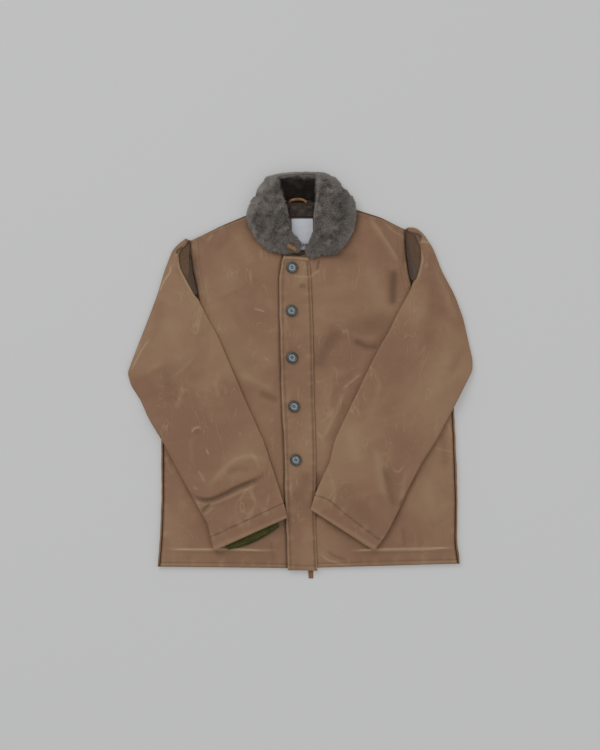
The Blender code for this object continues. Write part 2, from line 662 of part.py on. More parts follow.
def make_collar(drape):
    """The shawl collar: a soft roll round the neck, open between its two ends."""
    points, faces = [], []
    stations = len(COLLAR["top"])
    for i in range(stations):
        edge = (COLLAR["outer_x"][i], COLLAR["outer_y"][i])
        roll = (COLLAR["roll_x"][i], COLLAR["roll_y"][i])
        neck = (COLLAR["neck_x"][i], COLLAR["neck_y"][i])
        top = COLLAR["top"][i]
        for place, height in COLLAR_PROFILE:
            plan = mix(edge, roll, place)
            base = drape.rest(*edge, COLLAR_REACH, spread=COLLAR_SPREAD)
            points.append((*plan, mix(base, top, height)))
        foot = drape.rest(*neck, COLLAR_FOOT_REACH)
        points.append((*mix(roll, neck, 0.55), mix(foot, top, 0.48)))
        points.append((*neck, foot + 5.0))
        for place in (1.0, 0.66, 0.33, 0.06):
            plan = mix(edge, neck, place)
            points.append((*plan, drape.rest(*plan, COLLAR_REACH, spread=COLLAR_SPREAD)))
    ring = len(COLLAR_PROFILE) + 6
    faces += grid_faces(stations, ring, closed=True)
    for start in (0, (stations - 1) * ring):
        loop = list(range(start, start + ring))
        centre = len(points)
        points.append(tuple(sum(points[k][axis] for k in loop) / ring for axis in range(3)))
        faces += [(a, b, centre) for a, b in zip(loop, loop[1:] + loop[:1])]
    return add_mesh("collar", points, faces, "fur")


def make_patch(name, size, drape, material, reach, steps=(4, 4)):
    """A rectangular piece that lies on what is under it."""
    columns, rows = steps
    outer, inner = [], []
    for r in range(rows):
        for c in range(columns):
            x = mix(size["left"], size["right"], c / (columns - 1))
            y = mix(size["low"], size["high"], r / (rows - 1))
            z = drape.rest(x, y, reach)
            outer.append((x, y, z + size["thick"]))
            inner.append((x, y, z))
    return add_wall(name, outer, inner, grid_faces(rows, columns), material)


def make_strap(name, path, wide, thick, drape, reach):
    """A flat strap along a plan path, lying on what is under it."""
    outer, inner = [], []
    for i, point in enumerate(path):
        before, after = path[max(i - 1, 0)], path[min(i + 1, len(path) - 1)]
        step = math.dist(before, after)
        side = (-(after[1] - before[1]) / step, (after[0] - before[0]) / step)
        for half in (-0.5, 0.5):
            spot = (point[0] + side[0] * wide * half, point[1] + side[1] * wide * half)
            z = drape.rest(*spot, reach)
            outer.append((*spot, z + thick))
            inner.append((*spot, z))
    return add_wall(name, outer, inner, grid_faces(len(path), 2), "leather")


def make_button(number, x, y, drape):
    """A rimmed button, turned about its own axis."""
    name = f"button_{number}"
    profile = ((0.0, 0.60), (0.52, 0.60), (0.66, 0.92), (0.86, 1.0), (1.0, 0.62), (0.80, 0.0),
               (0.0, 0.0))
    mesh = bpy.data.meshes.new(name)
    points = [(r * BUTTON_R * MM, 0.0, z * BUTTON_H * MM) for r, z in profile]
    mesh.from_pydata(points, [(i, i + 1) for i in range(len(points) - 1)], [])
    item = bpy.data.objects.new(name, mesh)
    JACKET.objects.link(item)
    item.location = (x * MM, y * MM, drape.rest(x, y, BUTTON_R) * MM)
    turn = item.modifiers.new("turned", "SCREW")
    turn.steps = turn.render_steps = 18
    turn.use_merge_vertices = True
    turn.merge_threshold = 0.00002
    turn.use_normal_calculate = True
    item.data.materials.append(MATERIALS["button"])
    return item


clear_scene()
JACKET = make_collection("deck_jacket")
MATERIALS = {name: make_material(name) for name in COLOURS}

back = make_back()
front_right = make_front("front_right", RIGHT_SIDE, RIGHT_UNDERARM, RIGHT_SLEEVE,
                         RIGHT_SHOULDER, RIGHT_FRONT_NECK)
front_left = make_front("front_left", LEFT_SIDE, LEFT_UNDERARM, LEFT_SLEEVE,
                        LEFT_SHOULDER, LEFT_FRONT_NECK)
flap = make_flap(Drape([front_right, front_left]))
panels = Drape([back, front_right, front_left, flap])
sleeve_right, right_floor = make_sleeve(
    "sleeve_right", RIGHT_SLEEVE, RIGHT_SIDE, RIGHT_ARMHOLE_BACK, RIGHT_UNDERARM,
    panels, CUFF_HOLLOW)
sleeve_left, _ = make_sleeve(
    "sleeve_left", LEFT_SLEEVE, LEFT_SIDE, LEFT_ARMHOLE_BACK, LEFT_UNDERARM,
    panels, SLEEVE_HOLLOW)
make_rib(right_floor, panels)
lining = Drape([back])
band = make_patch("neck_band", NECK_BAND, lining, "pile", BAND_REACH)
label = make_patch("neck_label", LABEL, lining, "label", LABEL_REACH)
collar = make_collar(Drape([back, front_right, front_left, flap, band, label]))
neck = Drape([collar, back, band])
arch = [(mix(HANGER["left"], HANGER["right"], t),
         HANGER["foot_y"] + HANGER["arch"] * math.sin(math.pi * t) ** 0.5)
        for t in (0.0, 0.12, 0.3, 0.5, 0.7, 0.88, 1.0)]
make_strap("hanger_loop", arch, HANGER["wide"], HANGER["thick"], neck, STRAP_REACH)
tab = resample(line(THROAT_LOOP), 9)
make_strap("throat_loop", tab, THROAT_LOOP["wide"], THROAT_LOOP["thick"],
           Drape([collar, flap, front_right, front_left]), THROAT_REACH)
for number, spot in enumerate(line(BUTTONS), start=1):
    make_button(number, *spot, Drape([flap]))
make_patch("hem_tie", HEM_TIE, Drape([]), "leather", STRAP_REACH, steps=(2, 3))
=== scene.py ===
"""Looks of a waxed-cotton deck jacket with a fur collar, laid flat with its sleeves folded over.

Plan tables are in millimetres from the centre of the jacket's footprint: +x to the right as one
looks down on it, +y towards the collar. Lengths in the code are in metres unless a name says mm.
"""

import json
import logging
import math
from dataclasses import dataclass, field
from enum import Enum
from typing import Callable, Optional, Sequence, Union

import bmesh
import bpy
import numpy as np
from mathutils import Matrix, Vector
from mathutils.bvhtree import BVHTree
from mathutils.kdtree import KDTree

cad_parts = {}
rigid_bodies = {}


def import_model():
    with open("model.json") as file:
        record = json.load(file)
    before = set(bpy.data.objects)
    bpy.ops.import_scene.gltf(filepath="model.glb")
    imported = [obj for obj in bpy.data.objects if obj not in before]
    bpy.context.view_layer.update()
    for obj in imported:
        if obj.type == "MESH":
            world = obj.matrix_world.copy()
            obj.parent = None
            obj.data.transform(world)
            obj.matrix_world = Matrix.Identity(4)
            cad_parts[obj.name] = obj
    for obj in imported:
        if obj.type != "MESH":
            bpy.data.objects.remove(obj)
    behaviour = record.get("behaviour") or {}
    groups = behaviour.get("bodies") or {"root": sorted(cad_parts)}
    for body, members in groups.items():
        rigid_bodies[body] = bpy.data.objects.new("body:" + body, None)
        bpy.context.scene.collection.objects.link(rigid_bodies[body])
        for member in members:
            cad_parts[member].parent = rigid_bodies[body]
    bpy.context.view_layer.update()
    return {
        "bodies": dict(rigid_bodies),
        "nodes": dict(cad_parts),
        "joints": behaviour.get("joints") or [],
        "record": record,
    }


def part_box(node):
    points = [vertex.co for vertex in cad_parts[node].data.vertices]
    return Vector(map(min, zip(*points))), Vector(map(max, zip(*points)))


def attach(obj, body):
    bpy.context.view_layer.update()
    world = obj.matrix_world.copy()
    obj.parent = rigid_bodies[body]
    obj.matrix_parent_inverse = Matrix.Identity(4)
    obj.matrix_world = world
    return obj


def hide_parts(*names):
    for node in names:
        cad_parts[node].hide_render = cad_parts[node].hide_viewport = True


MM = 0.001
LOG = logging.getLogger("deck_jacket")
Plan = Sequence[tuple[float, float]]
Array = np.ndarray


class Slot(Enum):
    """The record's material slots."""

    CLOTH = "waxed_cloth"
    RIB = "rib_knit"
    FUR = "fur"
    PILE = "pile_lining"
    LABEL = "label_cloth"
    TRIM = "leather_trim"
    BUTTON = "button_plastic"


# Outlines as laid, from the hem up
RIGHT_SIDE = ((-286, -383), (-281, -329), (-278, -249), (-278, -129), (-277, -50), (-275, 10),
              (-272, 61), (-264, 107))
LEFT_SIDE = ((321, -377), (315, -336), (316, -249), (312, -129), (308, -50), (304, 10),
             (298, 61), (283, 118))
RIGHT_ARMHOLE = ((-244, 130), (-232, 158), (-223, 195), (-219, 225), (-219, 250), (-220, 270))
LEFT_ARMHOLE = ((262, 148), (245, 180), (234, 212), (226, 243), (218, 270), (210, 293))
RIGHT_UNDERARM = ((-236, 116), (-216, 127))
LEFT_UNDERARM = ((258, 132), (240, 152))
RIGHT_SHOULDER = ((-165, 295), (-109, 317), (-76, 328))
LEFT_SHOULDER = ((172, 311), (114, 328), (80, 336))
BACK_NECK = ((-46, 341), (-16, 343), (16, 343), (50, 343))
RIGHT_NECK = ((-66, 296), (-44, 264), (-20, 246), (-3, 240))
LEFT_NECK = ((70, 300), (48, 266), (24, 246), (-1.5, 240))
HEM_Y = -386
MEET_X = -2.0
FLAP_LEFT = ((-390, -25.5), (-130, -33), (57, -40.5), (195, -41.5), (228, -38), (241, -33))
FLAP_RIGHT = ((-391, 35), (-290, 31), (-157, 32), (-35, 28), (87, 26), (195, 22), (228, 19),
              (237, 16))


@dataclass(frozen=True)
class SleeveTable:
    """Sections of one sleeve, from the shoulder tip to the cuff, in millimetres.

    outer is the far edge, inner the near one: the armhole seam for the first rows, then the
    rolled fold. fold is how far the fold stands in from the seam.
    """

    outer: Plan
    inner: Plan
    fold: Sequence[float]
    side: int


RIGHT_SLEEVE = SleeveTable(
    outer=((-229, 275), (-244, 264), (-256, 251), (-272, 210), (-285, 166), (-300, 125),
           (-321, 71), (-338, 27), (-346, 5), (-339, -20), (-320, -49), (-303, -87),
           (-277, -129), (-234, -210), (-199, -274), (-186, -295), (-180, -324), (-173, -351)),
    inner=((-220.5, 270), (-219, 257), (-218.5, 243), (-215, 211), (-207.5, 175), (-200.5, 146),
           (-180, 107), (-163, 77), (-148, 41), (-128, -5), (-112, -43), (-92, -87),
           (-73, -129), (-53, -190), (-38, -237), (-34, -250), (-29, -265), (-25, -284)),
    fold=(2, 14, 34, 24, 12, 3),
    side=-1,
)
LEFT_SLEEVE = SleeveTable(
    outer=((217, 297), (233, 297), (248, 284), (267, 255), (284, 210), (310, 162), (327, 116),
           (339, 62), (346, 32), (346, 10), (332, -17), (316, -49), (273, -129), (243, -176),
           (214, -232), (197, -271), (184, -297), (170, -322), (149, -351)),
    inner=((210.5, 292), (211, 278), (211.8, 260), (214, 234), (218.5, 205), (224.5, 178),
           (195, 125), (179, 91), (162, 63), (149, 38), (130, -1), (108, -47), (69, -129),
           (59, -173), (46, -200), (38, -219), (32, -232), (26, -249), (21, -268)),
    fold=(2, 14, 42, 34, 20, 3),
    side=1,
)
CAP_ROWS = 6


def ease(t: Array) -> Array:
    """Rise smoothly from 0 to 1."""
    t = np.clip(t, 0.0, 1.0)
    return t * t * (3.0 - 2.0 * t)


def along(points: Plan, share: Array) -> Array:
    """Points at shares of a polyline's length.

    Args:
        points: The polyline's corners.
        share: Places from 0 to 1.

    Returns:
        An array with a row for each place.
    """
    line = np.array(points, float)
    length = np.concatenate([[0.0], np.cumsum(np.linalg.norm(np.diff(line, axis=0), axis=1))])
    at = np.asarray(share) * length[-1]
    return np.stack([np.interp(at, length, line[:, k]) for k in range(line.shape[1])], axis=-1)


def eased(line: Array, passes: int) -> Array:
    """A line, or the rows of a grid, with each point drawn towards its neighbours.

    Args:
        line: The points; the first and last stay where they are.
        passes: How many times they are drawn.

    Returns:
        A new array of the same shape.
    """
    line = line.copy()
    for _ in range(passes):
        line[1:-1] = line[1:-1] * 0.5 + (line[:-2] + line[2:]) * 0.25
    return line


def curve(points: Plan, count: int, soft: int = 2) -> Array:
    """A polyline with its corners eased.

    Args:
        points: The polyline's corners.
        count: How many points come back.
        soft: Passes of easing.

    Returns:
        An array with a row for each point, the ends kept.
    """
    return eased(along(points, np.linspace(0.0, 1.0, count)), soft)


def coons(low: Array, high: Array, left: Array, right: Array, u: Array, v: Array) -> Array:
    """Plan points inside four edges.

    Args:
        low: Lower edge, left to right.
        high: Upper edge, left to right.
        left: Left edge, upwards.
        right: Right edge, upwards.
        u: Shares across, a column for each.
        v: Shares up, a row for each.

    Returns:
        An array of rows by columns by 2.
    """
    a, b = along(low, u)[None], along(high, u)[None]
    c, d = along(left, v)[:, None], along(right, v)[:, None]
    u2, v2 = u[None, :, None], v[:, None, None]
    flat = ((low[0] * (1 - u2) + low[-1] * u2) * (1 - v2)
            + (high[0] * (1 - u2) + high[-1] * u2) * v2)
    return a * (1 - v2) + b * v2 + c * (1 - u2) + d * u2 - flat


class Lump:
    """Small even undulation of cloth, made from plane waves with fixed random phases."""

    def __init__(self, seed: int, longest: float, shortest: float, count: int = 16) -> None:
        """Draw the waves.

        Args:
            seed: Seed of the draw.
            longest: Longest wave, in metres.
            shortest: Shortest wave, in metres.
            count: How many waves are summed.
        """
        draw = np.random.default_rng(seed)
        wave = np.exp(draw.uniform(math.log(shortest), math.log(longest), count))
        turn = draw.uniform(0.0, math.tau, count)
        self.kx = math.tau / wave * np.cos(turn)
        self.ky = math.tau / wave * np.sin(turn)
        self.phase = draw.uniform(0.0, math.tau, count)
        self.size = (wave / longest) ** 0.7 / math.sqrt(count)

    def at(self, x: Array, y: Array) -> Array:
        """Height at plan points, about -1 to 1."""
        total = np.zeros_like(x)
        for kx, ky, phase, size in zip(self.kx, self.ky, self.phase, self.size):
            total += size * np.sin(kx * x + ky * y + phase)
        return total * 1.6


def near_line(path: Array, x: Array, y: Array) -> tuple[Array, Array]:
    """How far points are from a polyline, with a sign for its side.

    Args:
        path: Corners of the polyline.
        x: Plan x of the points.
        y: Plan y of the points.

    Returns:
        The signed distance, and the place along the line in metres.
    """
    best = np.full(x.shape, 9.0)
    sign = np.ones(x.shape)
    place = np.zeros(x.shape)
    start = 0.0
    for a, b in zip(path[:-1], path[1:]):
        d = b - a
        length = float(np.hypot(*d))
        t = np.clip(((x - a[0]) * d[0] + (y - a[1]) * d[1]) / (length * length), 0.0, 1.0)
        gap = np.hypot(x - a[0] - t * d[0], y - a[1] - t * d[1])
        side = np.sign(d[0] * (y - a[1]) - d[1] * (x - a[0]))
        closer = gap < best
        best = np.where(closer, gap, best)
        sign = np.where(closer, side, sign)
        place = np.where(closer, start + t * length, place)
        start += length
    return best * sign, place


@dataclass(frozen=True)
class Fold:
    """A crease, ridge, hollow or soft patch of the cloth.

    Args:
        path: Its line, in millimetres.
        wide: Half width, in millimetres.
        high: Height of its crest, in millimetres, below zero for a trough.
        pale: Wear along it, and on broad ridges a painted highlight, 0 to 1.
        dark: Painted shade along it, partly dirt, 0 to 1.
        lean: How much steeper its left side is than its right one, -1 to 1.
    """

    path: Plan
    wide: float
    high: float
    pale: float = 0.0
    dark: float = 0.0
    lean: float = 0.0

    def add(self, x: Array, y: Array, relief: "Relief") -> None:
        """Add it to a relief at plan points."""
        line = curve(self.path, max(4 * len(self.path), 8)) * MM
        gap, place = near_line(line, x, y)
        total = float(np.linalg.norm(np.diff(line, axis=0), axis=1).sum())
        ends = ease(place / total * 4.0 + 0.15) * ease((1.0 - place / total) * 4.0 + 0.15)
        lop = 1.0 + self.lean * np.tanh(gap / (self.wide * MM) * 2.0)
        across = np.abs(gap) / (self.wide * MM) * lop
        form = np.exp(-across * across) * ends
        relief.z += self.high * MM * form
        thin = np.exp(-(across * 1.9) ** 2) * ends
        # wear, and on broad ridges a painted highlight
        relief.pale += self.pale * thin
        # painted shade in troughs, partly dirt
        relief.dark += self.dark * np.exp(-(across * 1.2) ** 2) * ends


@dataclass
class Relief:
    """What lies on a smooth surface at a set of points: height, pale (wear and painted highlight)
    and dark (painted shade and dirt).
    """

    z: Array
    pale: Array
    dark: Array

    @staticmethod
    def bare(x: Array) -> "Relief":
        """A relief of nothing, with a place for each point."""
        return Relief(np.zeros(x.shape), np.zeros(x.shape), np.zeros(x.shape))


@dataclass(frozen=True)
class Seam:
    """A sewn line: a groove or step with puckers beside it and rows of stitches.

    Args:
        path: Its line, in millimetres.
        rows: Distances of its stitch rows to its left, in millimetres.
        groove: Depth of the groove at the line, in millimetres.
        pucker: Height of the puckers, in millimetres.
        dark: How much painted shade its groove gets, 0 to 1.
    """

    path: Plan
    rows: Sequence[float] = ()
    groove: float = 0.5
    pucker: float = 0.25
    dark: float = 0.5

    def add(self, x: Array, y: Array, relief: Relief) -> None:
        """Add its groove, puckers and shade to a relief at plan points."""
        line = curve(self.path, max(6 * len(self.path), 12)) * MM
        gap, place = near_line(line, x, y)
        gap = gap / MM
        near = np.exp(-(gap / 1.7) ** 2)
        relief.z -= self.groove * MM * near
        # painted shade in the seam's groove
        relief.dark += self.dark * np.exp(-(gap / 1.4) ** 2)
        wave = np.sin(place / 0.0043 + 2.3 * np.sin(place / 0.031)) * np.sin(place / 0.0171 + 1.0)
        beside = np.exp(-(np.abs(gap) / 7.0) ** 1.6)
        relief.z += self.pucker * MM * wave * beside
        relief.pale += 0.35 * np.clip(wave, 0.0, 1.0) * beside * min(self.pucker * 2.0, 1.0)
        for row in self.rows:
            relief.z -= 0.28 * MM * np.exp(-((gap - row) / 1.0) ** 2)
            # painted shade along each sunk stitch row
            relief.dark += 0.22 * np.exp(-((gap - row) / 1.3) ** 2)


class HeightMap:
    """Heights of a solid over the plan, read by rays and freed of its facets."""

    def __init__(self, nodes: Sequence[bpy.types.Object], top: bool, step: float = 0.003,
                 soft: float = 1.6) -> None:
        """Read the solids.

        Args:
            nodes: Objects whose surfaces are read.
            top: Whether the upper surface is read, or the lower one.
            step: Distance between rays.
            soft: How far heights are blurred, in steps.
        """
        trees = []
        low, high = np.full(2, 9.0), np.full(2, -9.0)
        for item in nodes:
            points = [tuple(v.co) for v in item.data.vertices]
            faces = [tuple(p.vertices) for p in item.data.polygons]
            trees.append(BVHTree.FromPolygons(points, faces))
            flat = np.array(points)[:, :2]
            low, high = np.minimum(low, flat.min(0)), np.maximum(high, flat.max(0))
        self.low, self.step = low - 4 * step, step
        size = np.ceil((high - self.low) / step).astype(int) + 5
        z = np.full((size[1], size[0]), np.nan)
        start, way = (1.0, Vector((0, 0, -1))) if top else (-1.0, Vector((0, 0, 1)))
        for r in range(size[1]):
            for c in range(size[0]):
                spot = Vector((self.low[0] + c * step, self.low[1] + r * step, start))
                for tree in trees:
                    hit = tree.ray_cast(spot, way)[0]
                    if hit is not None and not (z[r, c] >= hit.z if top else z[r, c] <= hit.z):
                        z[r, c] = hit.z
        self.z = self.blurred(self.filled(z), soft)

    @staticmethod
    def filled(z: Array, passes: int = 14) -> Array:
        """Spread known heights outwards into unknown places."""
        for _ in range(passes):
            known = ~np.isnan(z)
            total, count = np.zeros_like(z), np.zeros_like(z)
            for dr, dc in ((0, 1), (0, -1), (1, 0), (-1, 0)):
                moved = np.roll(z, (dr, dc), (0, 1))
                good = ~np.isnan(moved)
                total += np.where(good, moved, 0.0)
                count += good
            z = np.where(known, z, np.where(count > 0, total / np.maximum(count, 1), np.nan))
        return np.nan_to_num(z, nan=float(np.nanmean(z)))

    @staticmethod
    def blurred(z: Array, soft: float) -> Array:
        """Blur with a bell of that many steps."""
        if soft <= 0:
            return z
        reach = math.ceil(soft * 2.5)
        bell = np.exp(-0.5 * (np.arange(-reach, reach + 1) / soft) ** 2)
        bell /= bell.sum()
        for axis in (0, 1):
            wide = [(reach, reach) if k == axis else (0, 0) for k in (0, 1)]
            padded = np.pad(z, wide, mode="edge")
            z = sum(w * np.take(padded, range(i, i + z.shape[axis]), axis)
                    for i, w in enumerate(bell))
        return z

    def at(self, x: Array, y: Array) -> Array:
        """Heights at plan points, between the rays."""
        fx = np.clip((x - self.low[0]) / self.step, 0, self.z.shape[1] - 1.001)
        fy = np.clip((y - self.low[1]) / self.step, 0, self.z.shape[0] - 1.001)
        c, r = fx.astype(int), fy.astype(int)
        a, b = fx - c, fy - r
        z = self.z
        return ((z[r, c] * (1 - a) + z[r, c + 1] * a) * (1 - b)
                + (z[r + 1, c] * (1 - a) + z[r + 1, c + 1] * a) * b)


class Surface:
    """The dressed upper face of a cloth piece: its solid's height with folds and seams."""

    def __init__(self, base: HeightMap, folds: Sequence[Fold], seams: Sequence[Seam],
                 seed: int, lump: float = 0.35) -> None:
        """Keep what the face is made of.

        Args:
            base: Height of the solid.
            folds: Listed folds.
            seams: Sewn lines.
            seed: Seed of the small undulation.
            lump: Height of the small undulation, in millimetres.
        """
        self.base, self.folds, self.seams = base, tuple(folds), tuple(seams)
        self.broad, self.small = Lump(seed, 0.09, 0.03), Lump(seed + 50, 0.028, 0.009)
        self.lump = lump

    def relief(self, x: Array, y: Array) -> Relief:
        """The folds, seams and undulation at plan points."""
        relief = Relief.bare(x)
        relief.z += self.lump * MM * self.broad.at(x, y)
        relief.z += self.lump * 0.28 * MM * self.small.at(x, y)
        for part in (*self.folds, *self.seams):
            part.add(x, y, relief)
        return relief

    def top(self, x: Array, y: Array) -> Array:
        """Height of the face at plan points."""
        return self.base.at(x, y) + self.relief(x, y).z


def make_object(name: str, points: Array, faces: list, material: bpy.types.Material,
                values: Optional[dict[str, Array]] = None) -> bpy.types.Object:
    """Make a mesh object.

    Args:
        name: Its name.
        points: Its vertices, in metres.
        faces: Its faces.
        material: Its material.
        values: Numbers kept at each vertex, by name.

    Returns:
        The object, smooth shaded.
    """
    mesh = bpy.data.meshes.new(name)
    mesh.from_pydata(np.asarray(points, float).tolist(), [], faces)
    mesh.update()
    mesh.shade_smooth()
    for key, numbers in (values or {}).items():
        layer = mesh.attributes.new(key, "FLOAT", "POINT")
        layer.data.foreach_set("value", np.asarray(numbers, np.float32))
    mesh.materials.append(material)
    item = bpy.data.objects.new(name, mesh)
    bpy.context.scene.collection.objects.link(item)
    return item


def grid_quads(rows: int, columns: int, closed: bool, start: int = 0,
               turned: bool = False) -> list[tuple[int, ...]]:
    """Quads over a grid of vertices.

    Args:
        rows: Rows of the grid.
        columns: Columns of the grid.
        closed: Whether the last column joins the first.
        start: Index of the grid's first vertex.
        turned: Whether the faces look the other way.

    Returns:
        The faces.
    """
    r = np.arange(rows - 1)[:, None] * columns
    c = np.arange(columns if closed else columns - 1)[None]
    n = (c + 1) % columns
    quads = np.stack([r + c, r + n, r + columns + n, r + columns + c], -1).reshape(-1, 4) + start
    return (quads[:, ::-1] if turned else quads).tolist()


def make_shell(name: str, outer: Array, inner: Array, material: bpy.types.Material,
               closed: bool, values: dict[str, Array]) -> bpy.types.Object:
    """A closed cloth wall from two skins joined round their rims.

    Args:
        name: Its name.
        outer: Outer skin, rows by columns by 3.
        inner: Inner skin, of the same shape.
        material: Its material.
        closed: Whether each row is a ring.
        values: Numbers of the outer skin's vertices, rows by columns.

    Returns:
        The object.
    """
    rows, columns = outer.shape[:2]
    count = rows * columns
    faces = grid_quads(rows, columns, closed)
    faces += grid_quads(rows, columns, closed, count, True)
    for base, turned in ((0, True), ((rows - 1) * columns, False)):
        for c in range(columns if closed else columns - 1):
            a, b = base + c, base + (c + 1) % columns
            rim = (a, b, count + b, count + a)
            faces.append(rim if turned else rim[::-1])
    if not closed:
        for base, turned in ((0, False), (columns - 1, True)):
            for r in range(rows - 1):
                a, b = base + r * columns, base + (r + 1) * columns
                rim = (a, b, count + b, count + a)
                faces.append(rim if turned else rim[::-1])
    points = np.concatenate([outer.reshape(-1, 3), inner.reshape(-1, 3)])
    doubled = {key: np.concatenate([v.ravel(), v.ravel()]) for key, v in values.items()}
    doubled["inside"] = np.repeat([0.0, 1.0], count)
    item = make_object(name, points, faces, material, doubled)
    bm = bmesh.new()
    bm.from_mesh(item.data)
    bmesh.ops.recalc_face_normals(bm, faces=bm.faces)
    bm.to_mesh(item.data)
    bm.free()
    return item


# Shader maths


class Sock:
    """A shader socket, or a number, that takes part in expressions."""

    def __init__(self, shade: "Shade", socket: bpy.types.NodeSocket) -> None:
        """Keep the socket and the shade whose tree it is in."""
        self.shade, self.socket = shade, socket

    def _math(self, operation: str, a: "Value", b: "Value") -> "Sock":
        """A Math node on two values."""
        return self.shade.node("Math", {"operation": operation}, {0: a, 1: b})

    def __add__(self, other: "Value") -> "Sock":
        """Sum."""
        return self._math("ADD", self, other)

    def __radd__(self, other: "Value") -> "Sock":
        """Sum, from the right."""
        return self._math("ADD", other, self)

    def __sub__(self, other: "Value") -> "Sock":
        """Difference."""
        return self._math("SUBTRACT", self, other)

    def __rsub__(self, other: "Value") -> "Sock":
        """Difference, from the right."""
        return self._math("SUBTRACT", other, self)

    def __mul__(self, other: "Value") -> "Sock":
        """Product."""
        return self._math("MULTIPLY", self, other)

    def __rmul__(self, other: "Value") -> "Sock":
        """Product, from the right."""
        return self._math("MULTIPLY", other, self)

    def clamp(self) -> "Sock":
        """The value kept between 0 and 1."""
        return self.shade.node("Clamp", {}, {"Value": self})

    def step(self, low: float, high: float) -> "Sock":
        """A smooth step from 0 at low to 1 at high."""
        return self.shade.node("MapRange", {"interpolation_type": "SMOOTHSTEP"},
                               {"Value": self, "From Min": low, "From Max": high})


Value = Union[Sock, float]
Colour = tuple[float, float, float]


class Shade:
    """A material being made: its node tree and its Principled shader."""

    def __init__(self, name: str) -> None:
        """Start a material of that name."""
        self.material = bpy.data.materials.new(name)
        self.material.use_nodes = True
        self.tree = self.material.node_tree
        self.shader = self.tree.nodes["Principled BSDF"]

    def node(self, kind: str, settings: dict, inputs: dict, output: Union[int, str] = 0) -> Sock:
        """Add a node.

        Args:
            kind: Its type, without the ShaderNode prefix.
            settings: Its own settings, set first.
            inputs: Values or links of its sockets, by name or number.
            output: Name or number of the socket that comes back.

        Returns:
            The output socket.
        """
        made = self.tree.nodes.new(f"ShaderNode{kind}")
        for key, value in settings.items():
            if key == "stops":
                self._stops(made.color_ramp, value)
            else:
                setattr(made, key, value)
        for key, value in inputs.items():
            self._feed(made.inputs[key], value)
        return Sock(self, made.outputs[output])

    @staticmethod
    def _stops(ramp: bpy.types.ColorRamp, stops: Sequence[tuple[float, Colour]]) -> None:
        """Set a ramp's stops."""
        while len(ramp.elements) < len(stops):
            ramp.elements.new(0.5)
        for element, (place, colour) in zip(ramp.elements, stops):
            element.position, element.color = place, (*colour, 1.0)

    def _feed(self, socket: bpy.types.NodeSocket, value: Union[Value, tuple]) -> None:
        """Link a socket or set its value."""
        if isinstance(value, Sock):
            self.tree.links.new(value.socket, socket)
        elif isinstance(value, tuple) and socket.type == "RGBA":
            socket.default_value = (*value, 1.0)[:4]
        else:
            socket.default_value = value

    def blend(self, share: Value, a: Union[Sock, Colour], b: Union[Sock, Colour]) -> Sock:
        """A colour between two colours."""
        return self.node("Mix", {"data_type": "RGBA"}, {0: share, 6: a, 7: b}, 2)

    def noise(self, place: Sock, scale: float, detail: float = 3.0, rough: float = 0.5,
              warp: float = 0.0) -> Sock:
        """Noise over a place, about 0 to 1."""
        return self.node("TexNoise", {}, {"Vector": place, "Scale": scale, "Detail": detail,
                                          "Roughness": rough, "Distortion": warp})

    def kept(self, name: str) -> Sock:
        """A number kept at each vertex."""
        return self.node("Attribute", {"attribute_name": name}, {}, "Fac")

    def place(self) -> Sock:
        """Place on the object, in metres."""
        return self.node("TexCoord", {}, {}, "Object")

    def stretched(self, place: Sock, turn: float, size: tuple[float, float, float]) -> Sock:
        """A place turned in the plan and scaled."""
        return self.node("Mapping", {}, {"Vector": place, "Rotation": (0.0, 0.0, turn),
                                         "Scale": size})

    def finish(self, colour: Union[Sock, Colour], rough: Value, bumps: Sequence[tuple] = (),
               **constants: float) -> bpy.types.Material:
        """Feed the shader.

        Args:
            colour: Base colour.
            rough: Roughness.
            bumps: Pairs of a height and a distance in metres, chained.
            constants: Other sockets of the shader, by name with underscores.

        Returns:
            The material.
        """
        self._feed(self.shader.inputs["Base Color"], colour)
        self._feed(self.shader.inputs["Roughness"], rough)
        for key, value in constants.items():
            self.shader.inputs[key.replace("_", " ")].default_value = value
        last: Optional[Sock] = None
        for height, distance in bumps:
            inputs = {"Height": height, "Distance": distance, "Strength": 1.0}
            if last is not None:
                inputs["Normal"] = last
            last = self.node("Bump", {}, inputs)
        if last is not None:
            self._feed(self.shader.inputs["Normal"], last)
        return self.material


